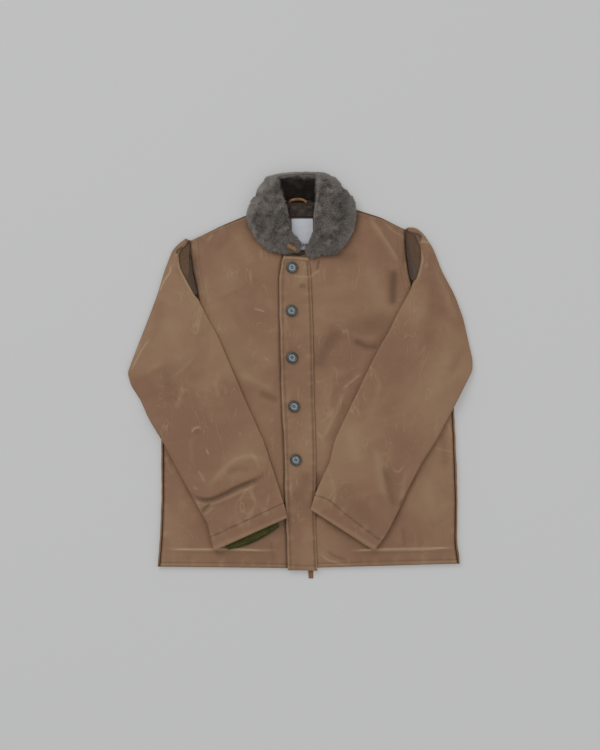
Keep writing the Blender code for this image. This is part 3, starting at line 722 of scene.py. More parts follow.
@dataclass(frozen=True)
class WaxedCotton:
    """Waxed cotton: blotchy brown; pale with crease wear and painted highlight, dark with painted
    shade and some dirt.
    """

    name: str = "waxed_cotton"
    base: Colour = (0.232, 0.128, 0.072)
    light: Colour = (0.300, 0.182, 0.104)
    red: Colour = (0.196, 0.103, 0.064)
    deep: Colour = (0.050, 0.028, 0.015)
    pale_tint: Colour = (0.520, 0.375, 0.205)

    def make(self) -> bpy.types.Material:
        """Build the material."""
        s = Shade(self.name)
        place = s.place()
        broad = s.noise(place, 5.5, 3.0, 0.55, 0.6)
        blotch = s.noise(place, 26.0, 5.0, 0.6, 0.4)
        grain = s.noise(place, 420.0, 2.0, 0.6)
        colour = s.blend(broad.step(0.36, 0.66), self.red, self.light)
        colour = s.blend(0.45, colour, self.base)
        colour = s.blend((blotch.step(0.48, 0.78) * 0.45), colour, self.light)
        colour = s.blend(((1.0 - blotch.step(0.22, 0.46)) * 0.42), colour, self.red)
        strokes = self.strokes(s, place)
        # pale: crease wear, plus painted highlight on broad ridges and along the sleeves' rolled
        # fold edges
        pale = (s.kept("pale") * (0.45 + 0.9 * blotch) + strokes * 0.30).clamp()
        dark = (s.kept("dark") * (0.75 + 0.4 * blotch)).clamp()
        colour = s.blend(pale * 0.72, colour, self.pale_tint)
        # dark: mostly painted shade in troughs, seams, hollows and beside raised edges, partly dirt
        colour = s.blend(dark * 0.86, colour, self.deep)
        colour = s.blend(((grain - 0.5) * 0.5 + 0.10).clamp(), colour, self.light)
        colour = s.blend(s.kept("inside") * 0.75, colour, (0.075, 0.055, 0.042))
        rough = 0.66 + (blotch - 0.5) * 0.18 - pale * 0.08
        weave = self.weave(s, place)
        return s.finish(colour, rough, ((blotch, 0.0009), (s.noise(place, 90.0, 4.0, 0.6), 0.00035),
                                        (strokes, 0.00022), (weave, 0.00006), (grain, 0.00008)),
                        Specular_IOR_Level=0.34)

    @staticmethod
    def strokes(s: Shade, place: Sock) -> Sock:
        """Thin short creases where the wax has cracked, in a few directions."""
        layers = []
        for turn, scale, low in ((0.5, 21.0, 0.965), (-0.7, 17.0, 0.972), (1.5, 24.0, 0.975)):
            lie = s.stretched(place, turn, (1.0, 0.34, 1.0))
            ridge = 1.0 - s.node("Math", {"operation": "ABSOLUTE"},
                                 {0: (s.noise(lie, scale, 2.0, 0.5, 1.4) - 0.5) * 2.0})
            patch = s.noise(s.stretched(place, turn, (1.0, 1.0, 1.0)), 13.0, 1.0).step(0.56, 0.72)
            layers.append(ridge.step(low, 1.0) * patch)
        return (layers[0] + layers[1] + layers[2]).clamp()

    @staticmethod
    def weave(s: Shade, place: Sock) -> Sock:
        """Fine cross threads."""
        warp = s.node("TexWave", {"bands_direction": "X"}, {"Vector": place, "Scale": 520.0})
        weft = s.node("TexWave", {"bands_direction": "Y"}, {"Vector": place, "Scale": 430.0})
        return warp * weft


@dataclass(frozen=True)
class Fur:
    """Clipped sheepskin: grey-brown, lighter at its tips, with a painted highlight on its rolled
    edge and painted shade, very dark, in the neck.
    """

    name: str = "clipped_fur"
    root: Colour = (0.105, 0.088, 0.075)
    body: Colour = (0.270, 0.238, 0.212)
    tip: Colour = (0.470, 0.430, 0.395)
    deep: Colour = (0.030, 0.022, 0.017)

    def make(self) -> bpy.types.Material:
        """Build the material."""
        s = Shade(self.name)
        place = s.place()
        patch = s.noise(place, 24.0, 4.0, 0.6, 0.8)
        fine = s.noise(place, 150.0, 3.0, 0.6)
        tip = s.kept("tip")
        colour = s.blend(tip.step(0.0, 0.75), self.root, self.body)
        # light: random clump tone plus a painted highlight along the collar's rolled edge
        light = (s.kept("light") * 0.75 + patch.step(0.42, 0.78) * 0.5) * tip
        colour = s.blend(light.clamp(), colour, self.tip)
        colour = s.blend(((1.0 - patch.step(0.22, 0.5)) * 0.45), colour, self.root)
        # painted shade in the neck's hollow
        colour = s.blend(s.kept("deep") * 0.88, colour, self.deep)
        return s.finish(colour, 0.86, ((fine, 0.0006),), Specular_IOR_Level=0.25)


@dataclass(frozen=True)
class PlainCloth:
    """A plain knitted, woven or leather finish with blotches and a fine bump."""

    name: str
    base: Colour
    other: Colour
    rough: float
    blotch: float = 30.0
    fine: float = 600.0
    depth: float = 0.0003
    level: float = 0.3

    def make(self) -> bpy.types.Material:
        """Build the material."""
        s = Shade(self.name)
        place = s.place()
        patch = s.noise(place, self.blotch, 4.0, 0.6, 0.4)
        fine = s.noise(place, self.fine, 3.0, 0.6)
        colour = s.blend(patch.step(0.3, 0.7), self.base, self.other)
        colour = s.blend(s.kept("dark").clamp() * 0.8, colour, tuple(c * 0.22 for c in self.base))
        colour = s.blend(s.kept("pale").clamp() * 0.6, colour,
                         tuple(min(c * 1.9, 0.95) for c in self.other))
        return s.finish(colour, self.rough, ((patch, self.depth), (fine, self.depth * 0.3)),
                        Specular_IOR_Level=self.level)


@dataclass(frozen=True)
class ButtonPlastic:
    """Dark marbled plastic with a silvery dish and painted shade, near black, in its holes."""

    name: str = "button_plastic"

    def make(self) -> bpy.types.Material:
        """Build the material."""
        s = Shade(self.name)
        place = s.place()
        swirl = s.noise(place, 230.0, 4.0, 0.55, 2.2)
        rim = s.blend(swirl.step(0.35, 0.7), (0.016, 0.022, 0.024), (0.085, 0.110, 0.112))
        dish = s.blend(swirl.step(0.3, 0.7), (0.150, 0.170, 0.172), (0.330, 0.350, 0.350))
        colour = s.blend(s.kept("pale").clamp(), rim, dish)
        # painted shade in the four holes
        colour = s.blend(s.kept("dark").clamp(), colour, (0.006, 0.006, 0.006))
        return s.finish(colour, 0.30, ((swirl, 0.0001),), Specular_IOR_Level=0.5)


# The folds of each piece, in millimetres: line, half width, height, wear and painted highlight,
# painted shade and dirt, lean
RIGHT_FRONT_FOLDS = (
    Fold(((-150, 205), (-128, 165)), 42, 2.2, 0.10),
    Fold(((-128, 5), (-88, -10), (-48, -35)), 13, 2.6, 0.18),
    Fold(((-84, -35), (-62, -44), (-40, -51)), 8, -1.9, 0.0, 0.42),
    Fold(((-150, 90), (-110, 30), (-70, 5)), 20, -1.6, 0.0, 0.12),
    Fold(((-128, 284), (-110, 250), (-96, 215)), 16, 1.3, 0.08),
    Fold(((-173, 284), (-187, 268)), 5, 0.9, 0.35),
    Fold(((-140, 292), (-150, 270), (-172, 250)), 9, -0.9, 0.0, 0.12),
    Fold(((-93, 134), (-80, 131), (-69, 127)), 2.4, 0.7, 0.75),
    Fold(((-88, 48), (-97, 40)), 1.7, 0.4, 0.8),
    Fold(((-62, 30), (-74, 36)), 1.6, 0.3, 0.5),
    Fold(((-95, 12), (-84, 22)), 1.8, 0.4, 0.45),
    Fold(((-185, 205), (-190, 170), (-180, 140)), 9, 1.2, 0.15),
    Fold(((-212, 245), (-208, 200), (-203, 165)), 7, -1.3, 0.0, 0.55),
    Fold(((-271, -160), (-262, -190), (-247, -200)), 6, 1.2, 0.12),
    Fold(((-250, -170), (-240, -230), (-236, -290)), 15, 1.8, 0.05),
    Fold(((-262, -120), (-258, -150)), 8, -1.2, 0.0, 0.2),
    Fold(((-120, -215), (-90, -300), (-70, -330)), 22, -1.1, 0.0, 0.12),
    Fold(((-60, -330), (-52, -372)), 3, -0.7, 0.0, 0.25),
    Fold(((-271, -346), (-217, -349), (-160, -348), (-110, -349), (-47, -350)), 3.0, 1.1, 1.3),
    Fold(((-271, -352), (-217, -355), (-160, -354), (-47, -356)), 3.4, -0.6, 0.0, 0.12),
)
LEFT_FRONT_FOLDS = (
    Fold(((120, 215), (160, 180), (165, 120)), 34, 2.4, 0.18),
    Fold(((140, 316), (155, 295), (174, 266), (198, 228)), 8, 1.7, 0.42, 0.0, 0.4),
    Fold(((167, 307), (186, 290), (206, 280)), 4, 1.0, 0.4),
    Fold(((150, 300), (172, 262), (190, 230)), 12, -1.4, 0.0, 0.10),
    Fold(((189, 216), (187, 180), (186, 135)), 10, -2.6, 0.0, 0.75),
    Fold(((210, 285), (208, 240), (206, 205)), 5, -1.0, 0.0, 0.40),
    Fold(((38, 232), (34, 210)), 3, -1.6, 0.0, 0.55),
    Fold(((40, 212), (28, 203), (18, 193)), 3, 1.2, 0.45),
    Fold(((60, 250), (90, 235), (118, 240)), 12, -1.4, 0.0, 0.32),
    Fold(((190, 118), (140, 96), (90, 92)), 22, -2.0, 0.0, 0.30),
    Fold(((106, 71), (136, 55), (159, 58)), 7, -2.6, 0.0, 0.62),
    Fold(((160, 78), (125, 74), (100, 86)), 10, 1.8, 0.12),
    Fold(((80, 95), (46, 45), (34, 5)), 17, -2.4, 0.0, 0.45),
    Fold(((86, -27), (112, -5), (124, 3)), 2.8, 1.0, 0.6),
    Fold(((43, -131), (66, -88), (90, -31)), 6, 1.5, 0.28),
    Fold(((56, -140), (78, -98), (96, -50)), 8, -1.2, 0.0, 0.22),
    Fold(((52, -60), (64, -20), (92, 20)), 14, 1.4, 0.06),
    Fold(((34, -190), (40, -240), (36, -290)), 10, -1.6, 0.0, 0.38),
    Fold(((60, -250), (90, -300), (120, -330)), 26, -1.2, 0.0, 0.22),
    Fold(((268, -144), (292, -150), (310, -154)), 4, 0.9, 0.35),
    Fold(((292, -90), (300, -104), (306, -130)), 6, 1.6, 0.30),
    Fold(((280, -110), (290, -140), (290, -190)), 10, -1.4, 0.0, 0.25),
    Fold(((240, -190), (262, -250), (270, -300)), 26, 1.8, 0.12),
    Fold(((206, -304), (209, -343)), 3, -0.7, 0.0, 0.3),
    Fold(((232, -312), (230, -345)), 3, 0.5, 0.12),
    Fold(((103, -350), (192, -348), (265, -347), (312, -343)), 3.2, 1.3, 1.35),
    Fold(((103, -357), (192, -355), (265, -354), (312, -350)), 3.6, -0.7, 0.0, 0.14),
    Fold(((40, -357), (56, -370), (93, -380)), 3.2, 1.3, 0.55),
    Fold(((52, -350), (72, -364), (98, -371)), 4, -1.2, 0.0, 0.35),
    Fold(((-14, -22), (-11, -26)), 1.4, 0.3, 0.9),
)
FLAP_FOLDS = (
    Fold(((37, 232), (31, 214)), 3, -1.4, 0.0, 0.6),
    Fold(((39, 211), (28, 202), (17, 197), (0, 197), (-15, 201)), 2.6, 0.9, 0.5),
    Fold(((12, 180), (-2, 178)), 5, -1.3, 0.0, 0.5),
    Fold(((24, 100), (10, 60)), 12, -0.6, 0.0, 0.08),
    Fold(((-30, 150), (-28, 90)), 8, 0.5, 0.06),
    Fold(((2, 62), (-4, 55)), 1.6, 0.4, 0.6),
    Fold(((20, -190), (0, -235), (-12, -260)), 16, -1.0, 0.0, 0.30),
    Fold(((20, -300), (6, -340)), 12, 0.6, 0.06),
    Fold(((-5, -278), (-1, -284)), 1.6, 0.3, 0.7),
)
RIGHT_SLEEVE_FOLDS = (
    Fold(((-282, 166), (-272, 190), (-259, 207), (-259, 223)), 3.0, 1.1, 0.95),
    Fold(((-340, 8), (-317, 51), (-300, 75)), 3.0, 0.9, 0.6),
    Fold(((-330, 40), (-318, 66)), 2.2, 0.6, 0.5),
    Fold(((-252, 236), (-240, 250), (-228, 262)), 5, 1.3, 0.35),
    Fold(((-262, 120), (-250, 60), (-230, 10)), 30, 2.2, 0.08),
    Fold(((-190, 60), (-180, 10), (-160, -60)), 26, 1.6, 0.04),
    Fold(((-280, 20), (-262, -10), (-250, -60)), 16, -1.6, 0.0, 0.16),
    Fold(((-251, -68), (-240, -51), (-236, -20)), 9, 1.8, 0.24),
    Fold(((-217, -115), (-211, -105), (-198, -103)), 3.2, 1.4, 0.85),
    Fold(((-222, -128), (-212, -116), (-200, -112)), 6, -1.2, 0.0, 0.22),
    Fold(((-188, -147), (-181, -158)), 2.0, 0.7, 0.6),
    Fold(((-210, -98), (-219, -140), (-214, -180)), 10, 1.5, 0.12),
    Fold(((-181, -220), (-154, -188), (-128, -165), (-95, -159), (-61, -174)), 9, 2.8, 0.30, 0.0,
         0.3),
    Fold(((-221, -236), (-194, -249), (-174, -247), (-148, -235), (-121, -221), (-85, -207),
          (-70, -196)), 5.0, -3.6, 0.0, 0.95, 0.25),
    Fold(((-219, -243), (-196, -258), (-172, -256), (-146, -245), (-118, -232), (-86, -217)),
         5.5, 2.6, 0.28),
    Fold(((-197, -274), (-188, -264), (-178, -254)), 3.0, -2.2, 0.0, 0.8),
    Fold(((-191, -280), (-180, -270), (-172, -262)), 3.0, 1.6, 0.4),
    Fold(((-205, -262), (-196, -262)), 3.0, 1.2, 0.5),
    Fold(((-150, -196), (-120, -186), (-96, -190)), 8, -1.6, 0.0, 0.25),
    Fold(((-204, -190), (-196, -200), (-190, -214)), 4, 1.1, 0.45),
    Fold(((-215, -222), (-203, -228)), 3, 0.9, 0.5),
    Fold(((-100, -150), (-88, -168), (-78, -190)), 7, 1.2, 0.20),
    Fold(((-61, -236), (-66, -262)), 5, 0.8, 0.18),
    Fold(((-117, -117), (-121, -115)), 1.5, 0.3, 0.8),
    Fold(((-160, -300), (-110, -272), (-60, -250)), 12, 0.9, 0.06),
    Fold(((-160, 10), (-170, -20), (-158, -50)), 7, 0.9, 0.22),
    Fold(((-330, 0), (-300, 10), (-270, 30)), 10, 1.2, 0.10),
    Fold(((-300, 60), (-286, 100), (-280, 140)), 10, -1.0, 0.0, 0.15),
    Fold(((-262, -10), (-230, 16), (-208, 40)), 5, 0.8, 0.18),
)
LEFT_SLEEVE_FOLDS = (
    Fold(((234, 263), (248, 269), (263, 263)), 3.2, 1.6, 0.75),
    Fold(((240, 285), (256, 262), (266, 240)), 7, 1.6, 0.22),
    Fold(((263, 240), (290, 170), (322, 90)), 14, 1.8, 0.16),
    Fold(((250, 190), (240, 130), (220, 70)), 22, 1.8, 0.10),
    Fold(((285, 145), (262, 100), (250, 40)), 18, -1.5, 0.0, 0.14),
    Fold(((305, 60), (280, 0), (262, -50)), 24, 1.8, 0.12),
    Fold(((200, 40), (190, -20), (160, -90)), 24, -1.3, 0.0, 0.12),
    Fold(((110, -90), (100, -130), (120, -180)), 26, 1.8, 0.20),
    Fold(((169, -178), (182, -240), (192, -271)), 11, -2.6, 0.0, 0.45, -0.3),
    Fold(((150, -140), (160, -200), (172, -250)), 14, 1.8, 0.22),
    Fold(((212, -190), (205, -235), (196, -262)), 8, 1.4, 0.16),
    Fold(((199, -264), (190, -290), (176, -312)), 4, 1.5, 0.42),
    Fold(((206, -246), (200, -262)), 4, -1.4, 0.0, 0.4),
    Fold(((55, -185), (70, -230), (64, -262)), 8, 0.9, 0.14),
    Fold(((80, -210), (110, -260), (150, -296)), 16, -1.0, 0.0, 0.15),
    Fold(((90, -225), (92, -232)), 1.6, 0.3, 0.5),
    Fold(((330, 20), (300, -10), (270, -40)), 12, 1.0, 0.10),
    Fold(((340, 60), (318, 40), (300, 0)), 9, -1.1, 0.0, 0.14),
    Fold(((160, -330), (172, -318), (182, -302)), 4, 1.2, 0.30),
    Fold(((140, 20), (160, -20), (150, -60)), 10, 0.9, 0.10),
)


@dataclass
class Stitcher:
    """Rows of thread stitches that lie in the cloth, joined into one mesh."""

    long_mm: float = 2.5
    gap_mm: float = 1.0
    wide_mm: float = 0.8
    high_mm: float = 0.45
    points: list = field(default_factory=list)
    faces: list = field(default_factory=list)

    def sew(self, path: Array, height: Callable[[Array, Array], Array]) -> None:
        """Sew along a plan line.

        Args:
            path: The line, in metres.
            height: Height of the cloth at plan points.
        """
        total = float(np.linalg.norm(np.diff(path, axis=0), axis=1).sum())
        pitch = (self.long_mm + self.gap_mm) * MM
        count = max(int(total / pitch), 1)
        shares = (np.arange(count) + 0.5) / count
        spots = along(path, shares)
        ahead = along(path, np.clip(shares + 0.5 * pitch / total, 0, 1))
        behind = along(path, np.clip(shares - 0.5 * pitch / total, 0, 1))
        way = ahead - behind
        way /= np.maximum(np.linalg.norm(way, axis=1), 1e-9)[:, None]
        side = np.stack([-way[:, 1], way[:, 0]], 1)
        half, wide = self.long_mm * MM / 2, self.wide_mm * MM / 2
        z = height(spots[:, 0], spots[:, 1])
        front = height(*(spots + way * half).T)
        rear = height(*(spots - way * half).T)
        for i in range(count):
            start = len(self.points)
            up = z[i] + self.high_mm * MM * 0.6
            low = 0.35 * MM
            for a, b, zz in ((-half, 0, rear[i] - low), (-half * 0.5, -wide, z[i] - low),
                             (-half * 0.5, wide, z[i] - low), (half * 0.5, -wide, z[i] - low),
                             (half * 0.5, wide, z[i] - low), (half, 0, front[i] - low),
                             (-half * 0.55, 0, up), (half * 0.55, 0, up)):
                spot = spots[i] + way[i] * a + side[i] * b
                self.points.append((spot[0], spot[1], zz))
            self.faces += [tuple(start + k for k in face) for face in (
                (0, 1, 6), (0, 6, 2), (1, 3, 7, 6), (2, 6, 7, 4), (3, 5, 7), (4, 7, 5),
                (0, 2, 4, 5, 3, 1))]

    def row(self, path: Plan, offset: float, height: Callable[[Array, Array], Array]) -> None:
        """Sew beside a plan line, offset millimetres to its left."""
        line = curve(path, 40) * MM
        way = np.gradient(line, axis=0)
        way /= np.linalg.norm(way, axis=1)[:, None]
        self.sew(line + np.stack([-way[:, 1], way[:, 0]], 1) * offset * MM, height)

    def made(self, name: str, thread: bpy.types.Material) -> bpy.types.Object:
        """The joined stitches as an object."""
        return make_object(name, np.array(self.points), self.faces, thread)


class Wardrobe:
    """Materials, solids and the stitches sewn so far."""

    def __init__(self, frame: dict) -> None:
        """Make the materials.
        """
        self.nodes = frame["nodes"]
        self.cloth = WaxedCotton().make()
        self.fur = Fur().make()
        self.pile = PlainCloth("brown_pile", (0.040, 0.031, 0.025), (0.095, 0.078, 0.066), 0.9,
                               60.0, 300.0, 0.0012, 0.2).make()
        self.label = PlainCloth("label_tape", (0.70, 0.72, 0.80), (0.78, 0.80, 0.88), 0.6,
                                40.0, 900.0, 0.0004).make()
        self.rib = PlainCloth("olive_rib", (0.052, 0.055, 0.016), (0.085, 0.088, 0.030), 0.88,
                              90.0, 900.0, 0.0003, 0.2).make()
        self.trim = PlainCloth("tan_trim", (0.150, 0.072, 0.030), (0.290, 0.150, 0.062), 0.55,
                               70.0, 700.0, 0.0002, 0.4).make()
        self.thread = PlainCloth("seam_thread", (0.085, 0.074, 0.062), (0.125, 0.105, 0.082), 0.8,
                                 200.0, 2000.0, 0.0001).make()
        self.tan_thread = PlainCloth("buttonhole_thread", (0.30, 0.20, 0.095),
                                     (0.46, 0.33, 0.17), 0.8, 200.0, 2000.0, 0.0001).make()
        self.plastic = ButtonPlastic().make()
        self.stitches = Stitcher()
        self.holes = Stitcher(long_mm=2.0, gap_mm=0.15, wide_mm=1.0, high_mm=0.7)

    def add(self, item: bpy.types.Object, slot: Optional[Slot], *nodes: str) -> bpy.types.Object:
        """Make a piece ride on the jacket's one body.

        Args:
            item: The piece.
            slot: Its material slot in the record; not used.
            nodes: The solids that it stands for.

        Returns:
            The piece.
        """
        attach(item, "root")
        if nodes:
            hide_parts(*nodes)
        LOG.info("%s: %d faces", item.name, len(item.data.polygons))
        return item


@dataclass
class BackPanel:
    """The back, flat on the surface, whose sides curl up to meet the fronts."""

    wardrobe: Wardrobe
    rows: int = 120
    core: int = 84
    wall_mm: float = 6.0
    depth_mm: float = 14.0
    curled_out: Plan = ((14.0, 0.0), (6.0, 0.0), (1.6, 1.8), (0.0, 5.6), (0.8, 9.6), (3.2, 12.0))
    curled_in: Plan = ((14.0, 6.0), (6.2, 6.0), (4.4, 6.2), (4.2, 7.4), (4.2, 9.6), (4.0, 12.0))
    cut_out: Plan = ((14.0, 0.0), (3.0, 0.0), (1.0, 0.2), (0.2, 1.2), (0.0, 2.4), (0.0, 3.0))
    cut_in: Plan = ((14.0, 6.0), (3.0, 6.0), (1.4, 5.8), (0.6, 5.0), (0.1, 4.2), (0.0, 3.4))

    def edges(self) -> tuple[Array, Array, Array, Array]:
        """Lower, upper, right-hand and left-hand edges, in millimetres."""
        right = curve(RIGHT_SIDE + RIGHT_ARMHOLE, 200, 6)
        left = curve(LEFT_SIDE + LEFT_ARMHOLE, 200, 6)
        low = curve((tuple(right[0]), (0, HEM_Y), tuple(left[0])), 60, 6)
        top = curve((tuple(right[-1]),) + RIGHT_SHOULDER + BACK_NECK + LEFT_SHOULDER[::-1]
                    + (tuple(left[-1]),), 120, 4)
        return low, top, right, left

    def rim(self, edge: Array, inset: Array, curled: Array, outside: bool, steps: int = 14) -> Array:
        """Points of each row from its inset to its rim.

        Args:
            edge: The rim in plan, a row for each.
            inset: Where the rim's profile begins, in plan.
            curled: How far each row is curled round, 0 to 1.
            outside: Whether it is the outer skin.
            steps: Points of the profile.

        Returns:
            Rows by steps by 3, in millimetres.
        """
        share = np.linspace(0.0, 1.0, steps)
        first = along(self.curled_out if outside else self.curled_in, share)
        second = along(self.cut_out if outside else self.cut_in, share)
        form = first[None] * curled[:, None, None] + second[None] * (1 - curled[:, None, None])
        depth = form[..., :1] / self.depth_mm
        plan = edge[:, None] * (1 - depth) + inset[:, None] * depth
        return np.concatenate([plan, form[..., 1:]], -1)

    def build(self) -> bpy.types.Object:
        """Build the panel."""
        low, top, right, left = self.edges()
        v = np.linspace(0.0, 1.0, self.rows)
        u = np.linspace(0.0, 1.0, self.core)
        plan = coons(low, top, right, left, u, v)
        side = along(right, v)
        curled = 1.0 - ease((side[:, 1] - 92.0) / 30.0)
        skins = []
        for outside, z in ((True, 0.0), (False, self.wall_mm)):
            parts = []
            for end, mate in ((0, 1), (-1, -2)):
                way = plan[:, mate] - plan[:, end]
                way /= np.linalg.norm(way, axis=1)[:, None]
                rim = self.rim(plan[:, end], plan[:, end] + way * self.depth_mm, curled, outside)
                parts.append(rim[:, ::-1] if end == 0 else rim)
            inner_u = u[None, 1:-1, None]
            start, stop = parts[0][:, -1, :2][:, None], parts[1][:, 0, :2][:, None]
            straight = start * (1 - inner_u) + stop * inner_u
            ends = (plan[:, :1] * (1 - inner_u) + plan[:, -1:] * inner_u)
            middle = plan[:, 1:-1] + straight - ends
            middle = np.concatenate([middle, np.full((*middle.shape[:2], 1), z)], -1)
            skins.append(np.concatenate([parts[0], middle, parts[1]], 1) * MM)
        outer, inner = skins
        self.hem(outer, inner)
        ripple = Lump(3, 0.06, 0.02).at(outer[..., 1], outer[..., 0])
        raised = ease(outer[..., 2] / 0.010)
        outer[..., 0] += 0.0006 * ripple * raised
        # painted shade on the upper curl, where the sides turn under the fronts, and in the neck
        # under the collar
        dark = 0.35 * ease((outer[..., 2] - 0.007) / 0.005)
        dark += 0.7 * ease((inner[..., 1] - 0.30) / 0.02) * ease((0.06 - abs(outer[..., 0])) / 0.02)
        pale = 0.5 * ease(outer[..., 2] / 0.004) * ease((0.008 - outer[..., 2]) / 0.004)
        item = make_shell("back_panel", outer, inner, self.wardrobe.cloth, False,
                          {"pale": pale, "dark": dark})
        self.wardrobe.add(item, Slot.CLOTH, "back")
        return item

    @staticmethod
    def hem(outer: Array, inner: Array) -> None:
        """Round the hem's lower and upper edges."""
        for row, turn_mm in enumerate((1.6, 0.4)):
            outer[row, :, 2] += turn_mm * MM
            inner[row, :, 2] -= turn_mm * MM


@dataclass
class FrontPanel:
    """One front, from the side seam to the middle, with its folds, hem and seams."""

    wardrobe: Wardrobe
    name: str
    node: str
    side: int
    folds: Sequence[Fold]
    flat: tuple[float, float]
    area: float
    rows: int = 236
    columns: int = 104
    base_mm: float = 6.3

    def edges(self) -> tuple[Array, Array, Array, Array]:
        """Lower and upper edges from the side to the middle, then the side and the middle."""
        right = self.side < 0
        body = RIGHT_SIDE if right else LEFT_SIDE
        under = RIGHT_UNDERARM if right else LEFT_UNDERARM
        sleeve = RIGHT_SLEEVE if right else LEFT_SLEEVE
        shoulder = RIGHT_SHOULDER if right else LEFT_SHOULDER
        neck = RIGHT_NECK if right else LEFT_NECK
        seam = [(x - self.side * 0.6, y) for x, y in sleeve.inner[:CAP_ROWS]][::-1]
        side = [(x - self.side * 4.6, y) for x, y in body] + list(under) + seam
        centre_x = MEET_X + self.side * 0.5
        side = curve(side, 220, 6)
        centre = np.array([(centre_x, HEM_Y), (centre_x, neck[-1][1])])
        top = curve((tuple(side[-1]),) + shoulder + neck[:-1] + (tuple(centre[1]),), 120, 4)
        hem = np.array([tuple(side[0]), tuple(centre[0])])
        return hem, top, side, centre

    def seams(self) -> list[Seam]:
        """Side, hem, shoulder and armhole seams."""
        right = self.side < 0
        hem, _, side, _ = self.edges()
        count = len(side)
        body = [tuple(p - np.array([self.side * 1.5, 0])) for p in side[:int(count * 0.64):12]]
        hole = [tuple(p - np.array([self.side * 2.0, 0])) for p in side[int(count * 0.80)::7]]
        shoulder = RIGHT_SHOULDER if right else LEFT_SHOULDER
        ridge = [tuple(side[-1] + np.array([-self.side * 4, -4]))]
        ridge += [(x, y - 5.0) for x, y in shoulder]
        facing = 1 if right else -1
        lift = 9.0
        low = [(hem[0][0] - self.side * 2, hem[0][1] + lift), (hem[1][0], hem[1][1] + lift - 1)]
        return [
            Seam(body, (), 0.7, 0.35, 0.55),
            Seam(hole, (facing * -6.0, facing * -13.0), 0.9, 0.55, 0.65),
            Seam(ridge, (facing * -5.0,), 0.5, 0.30, 0.30),
            Seam(low, (0.0,), 0.35, 0.30, 0.15),
        ]

    def build(self) -> "FrontPanel":
        """Build the panel and sew its seams."""
        hem, top, side, centre = self.edges()
        seams = self.seams()
        base = HeightMap([self.wardrobe.nodes[self.node]], True, soft=2.2)
        self.surface = Surface(base, self.folds, seams, 11 + self.side)
        u = np.linspace(0.0, 1.0, self.columns)
        v = np.linspace(0.0, 1.0, self.rows)
        plan = coons(hem, top, side, centre, u, v) * MM
        x, y = plan[..., 0], plan[..., 1]
        relief = self.surface.relief(x, y)
        width = np.linalg.norm(plan[:, -1] - plan[:, 0], axis=1)[:, None]
        height = np.linalg.norm(plan[-1] - plan[0], axis=1)[None]
        from_side, from_hem = u[None] * width, v[:, None] * height
        from_top = (1 - v[:, None]) * height
        edge = np.minimum(np.minimum(from_side, from_hem), from_top)
        fade = ease(edge / 0.012 + 0.1)
        rim = 2.2 * MM * (1 - ease(edge / 0.0045)) ** 1.5
        z = base.at(x, y) + relief.z * fade - rim
        z = np.maximum(z, (self.base_mm + 2.4) * MM)
        low = np.full(z.shape, self.base_mm * MM) + 1.4 * MM * (1 - ease(edge / 0.003)) ** 2
        outer, inner = np.stack([x, y, z], -1), np.stack([x, y, low], -1)
        dark = relief.dark + 0.35 * (1 - ease(from_hem / 0.004))
        dark += self.shadow(x, y)
        pale = relief.pale + 0.25 * np.exp(-((from_hem - 0.004) / 0.002) ** 2)
        item = make_shell(self.name, outer, inner, self.wardrobe.cloth, False,
                          {"pale": pale, "dark": dark})
        self.wardrobe.add(item, Slot.CLOTH, self.node)
        for seam in seams:
            for row in seam.rows:
                self.wardrobe.stitches.row(seam.path, row, self.height)
        return self

    def height(self, x: Array, y: Array) -> Array:
        """Height of the finished face at plan points."""
        return self.surface.top(x, y)

    def shadow(self, x: Array, y: Array) -> Array:
        """Painted shadow beside the flap's raised edge and painted shade under the collar's edge."""
        flap = np.interp(y / MM, [p[0] for p in FLAP_LEFT], [p[1] for p in FLAP_LEFT]) * MM
        beside = np.exp(-((x - flap + 0.001) / 0.0026) ** 2) * 0.75 if self.side < 0 else 0.0
        ring = np.hypot((x - 0.004) / 0.112, (y - 0.318) / 0.084)
        return beside + 0.40 * np.exp(-((ring - 0.96) / 0.10) ** 2)


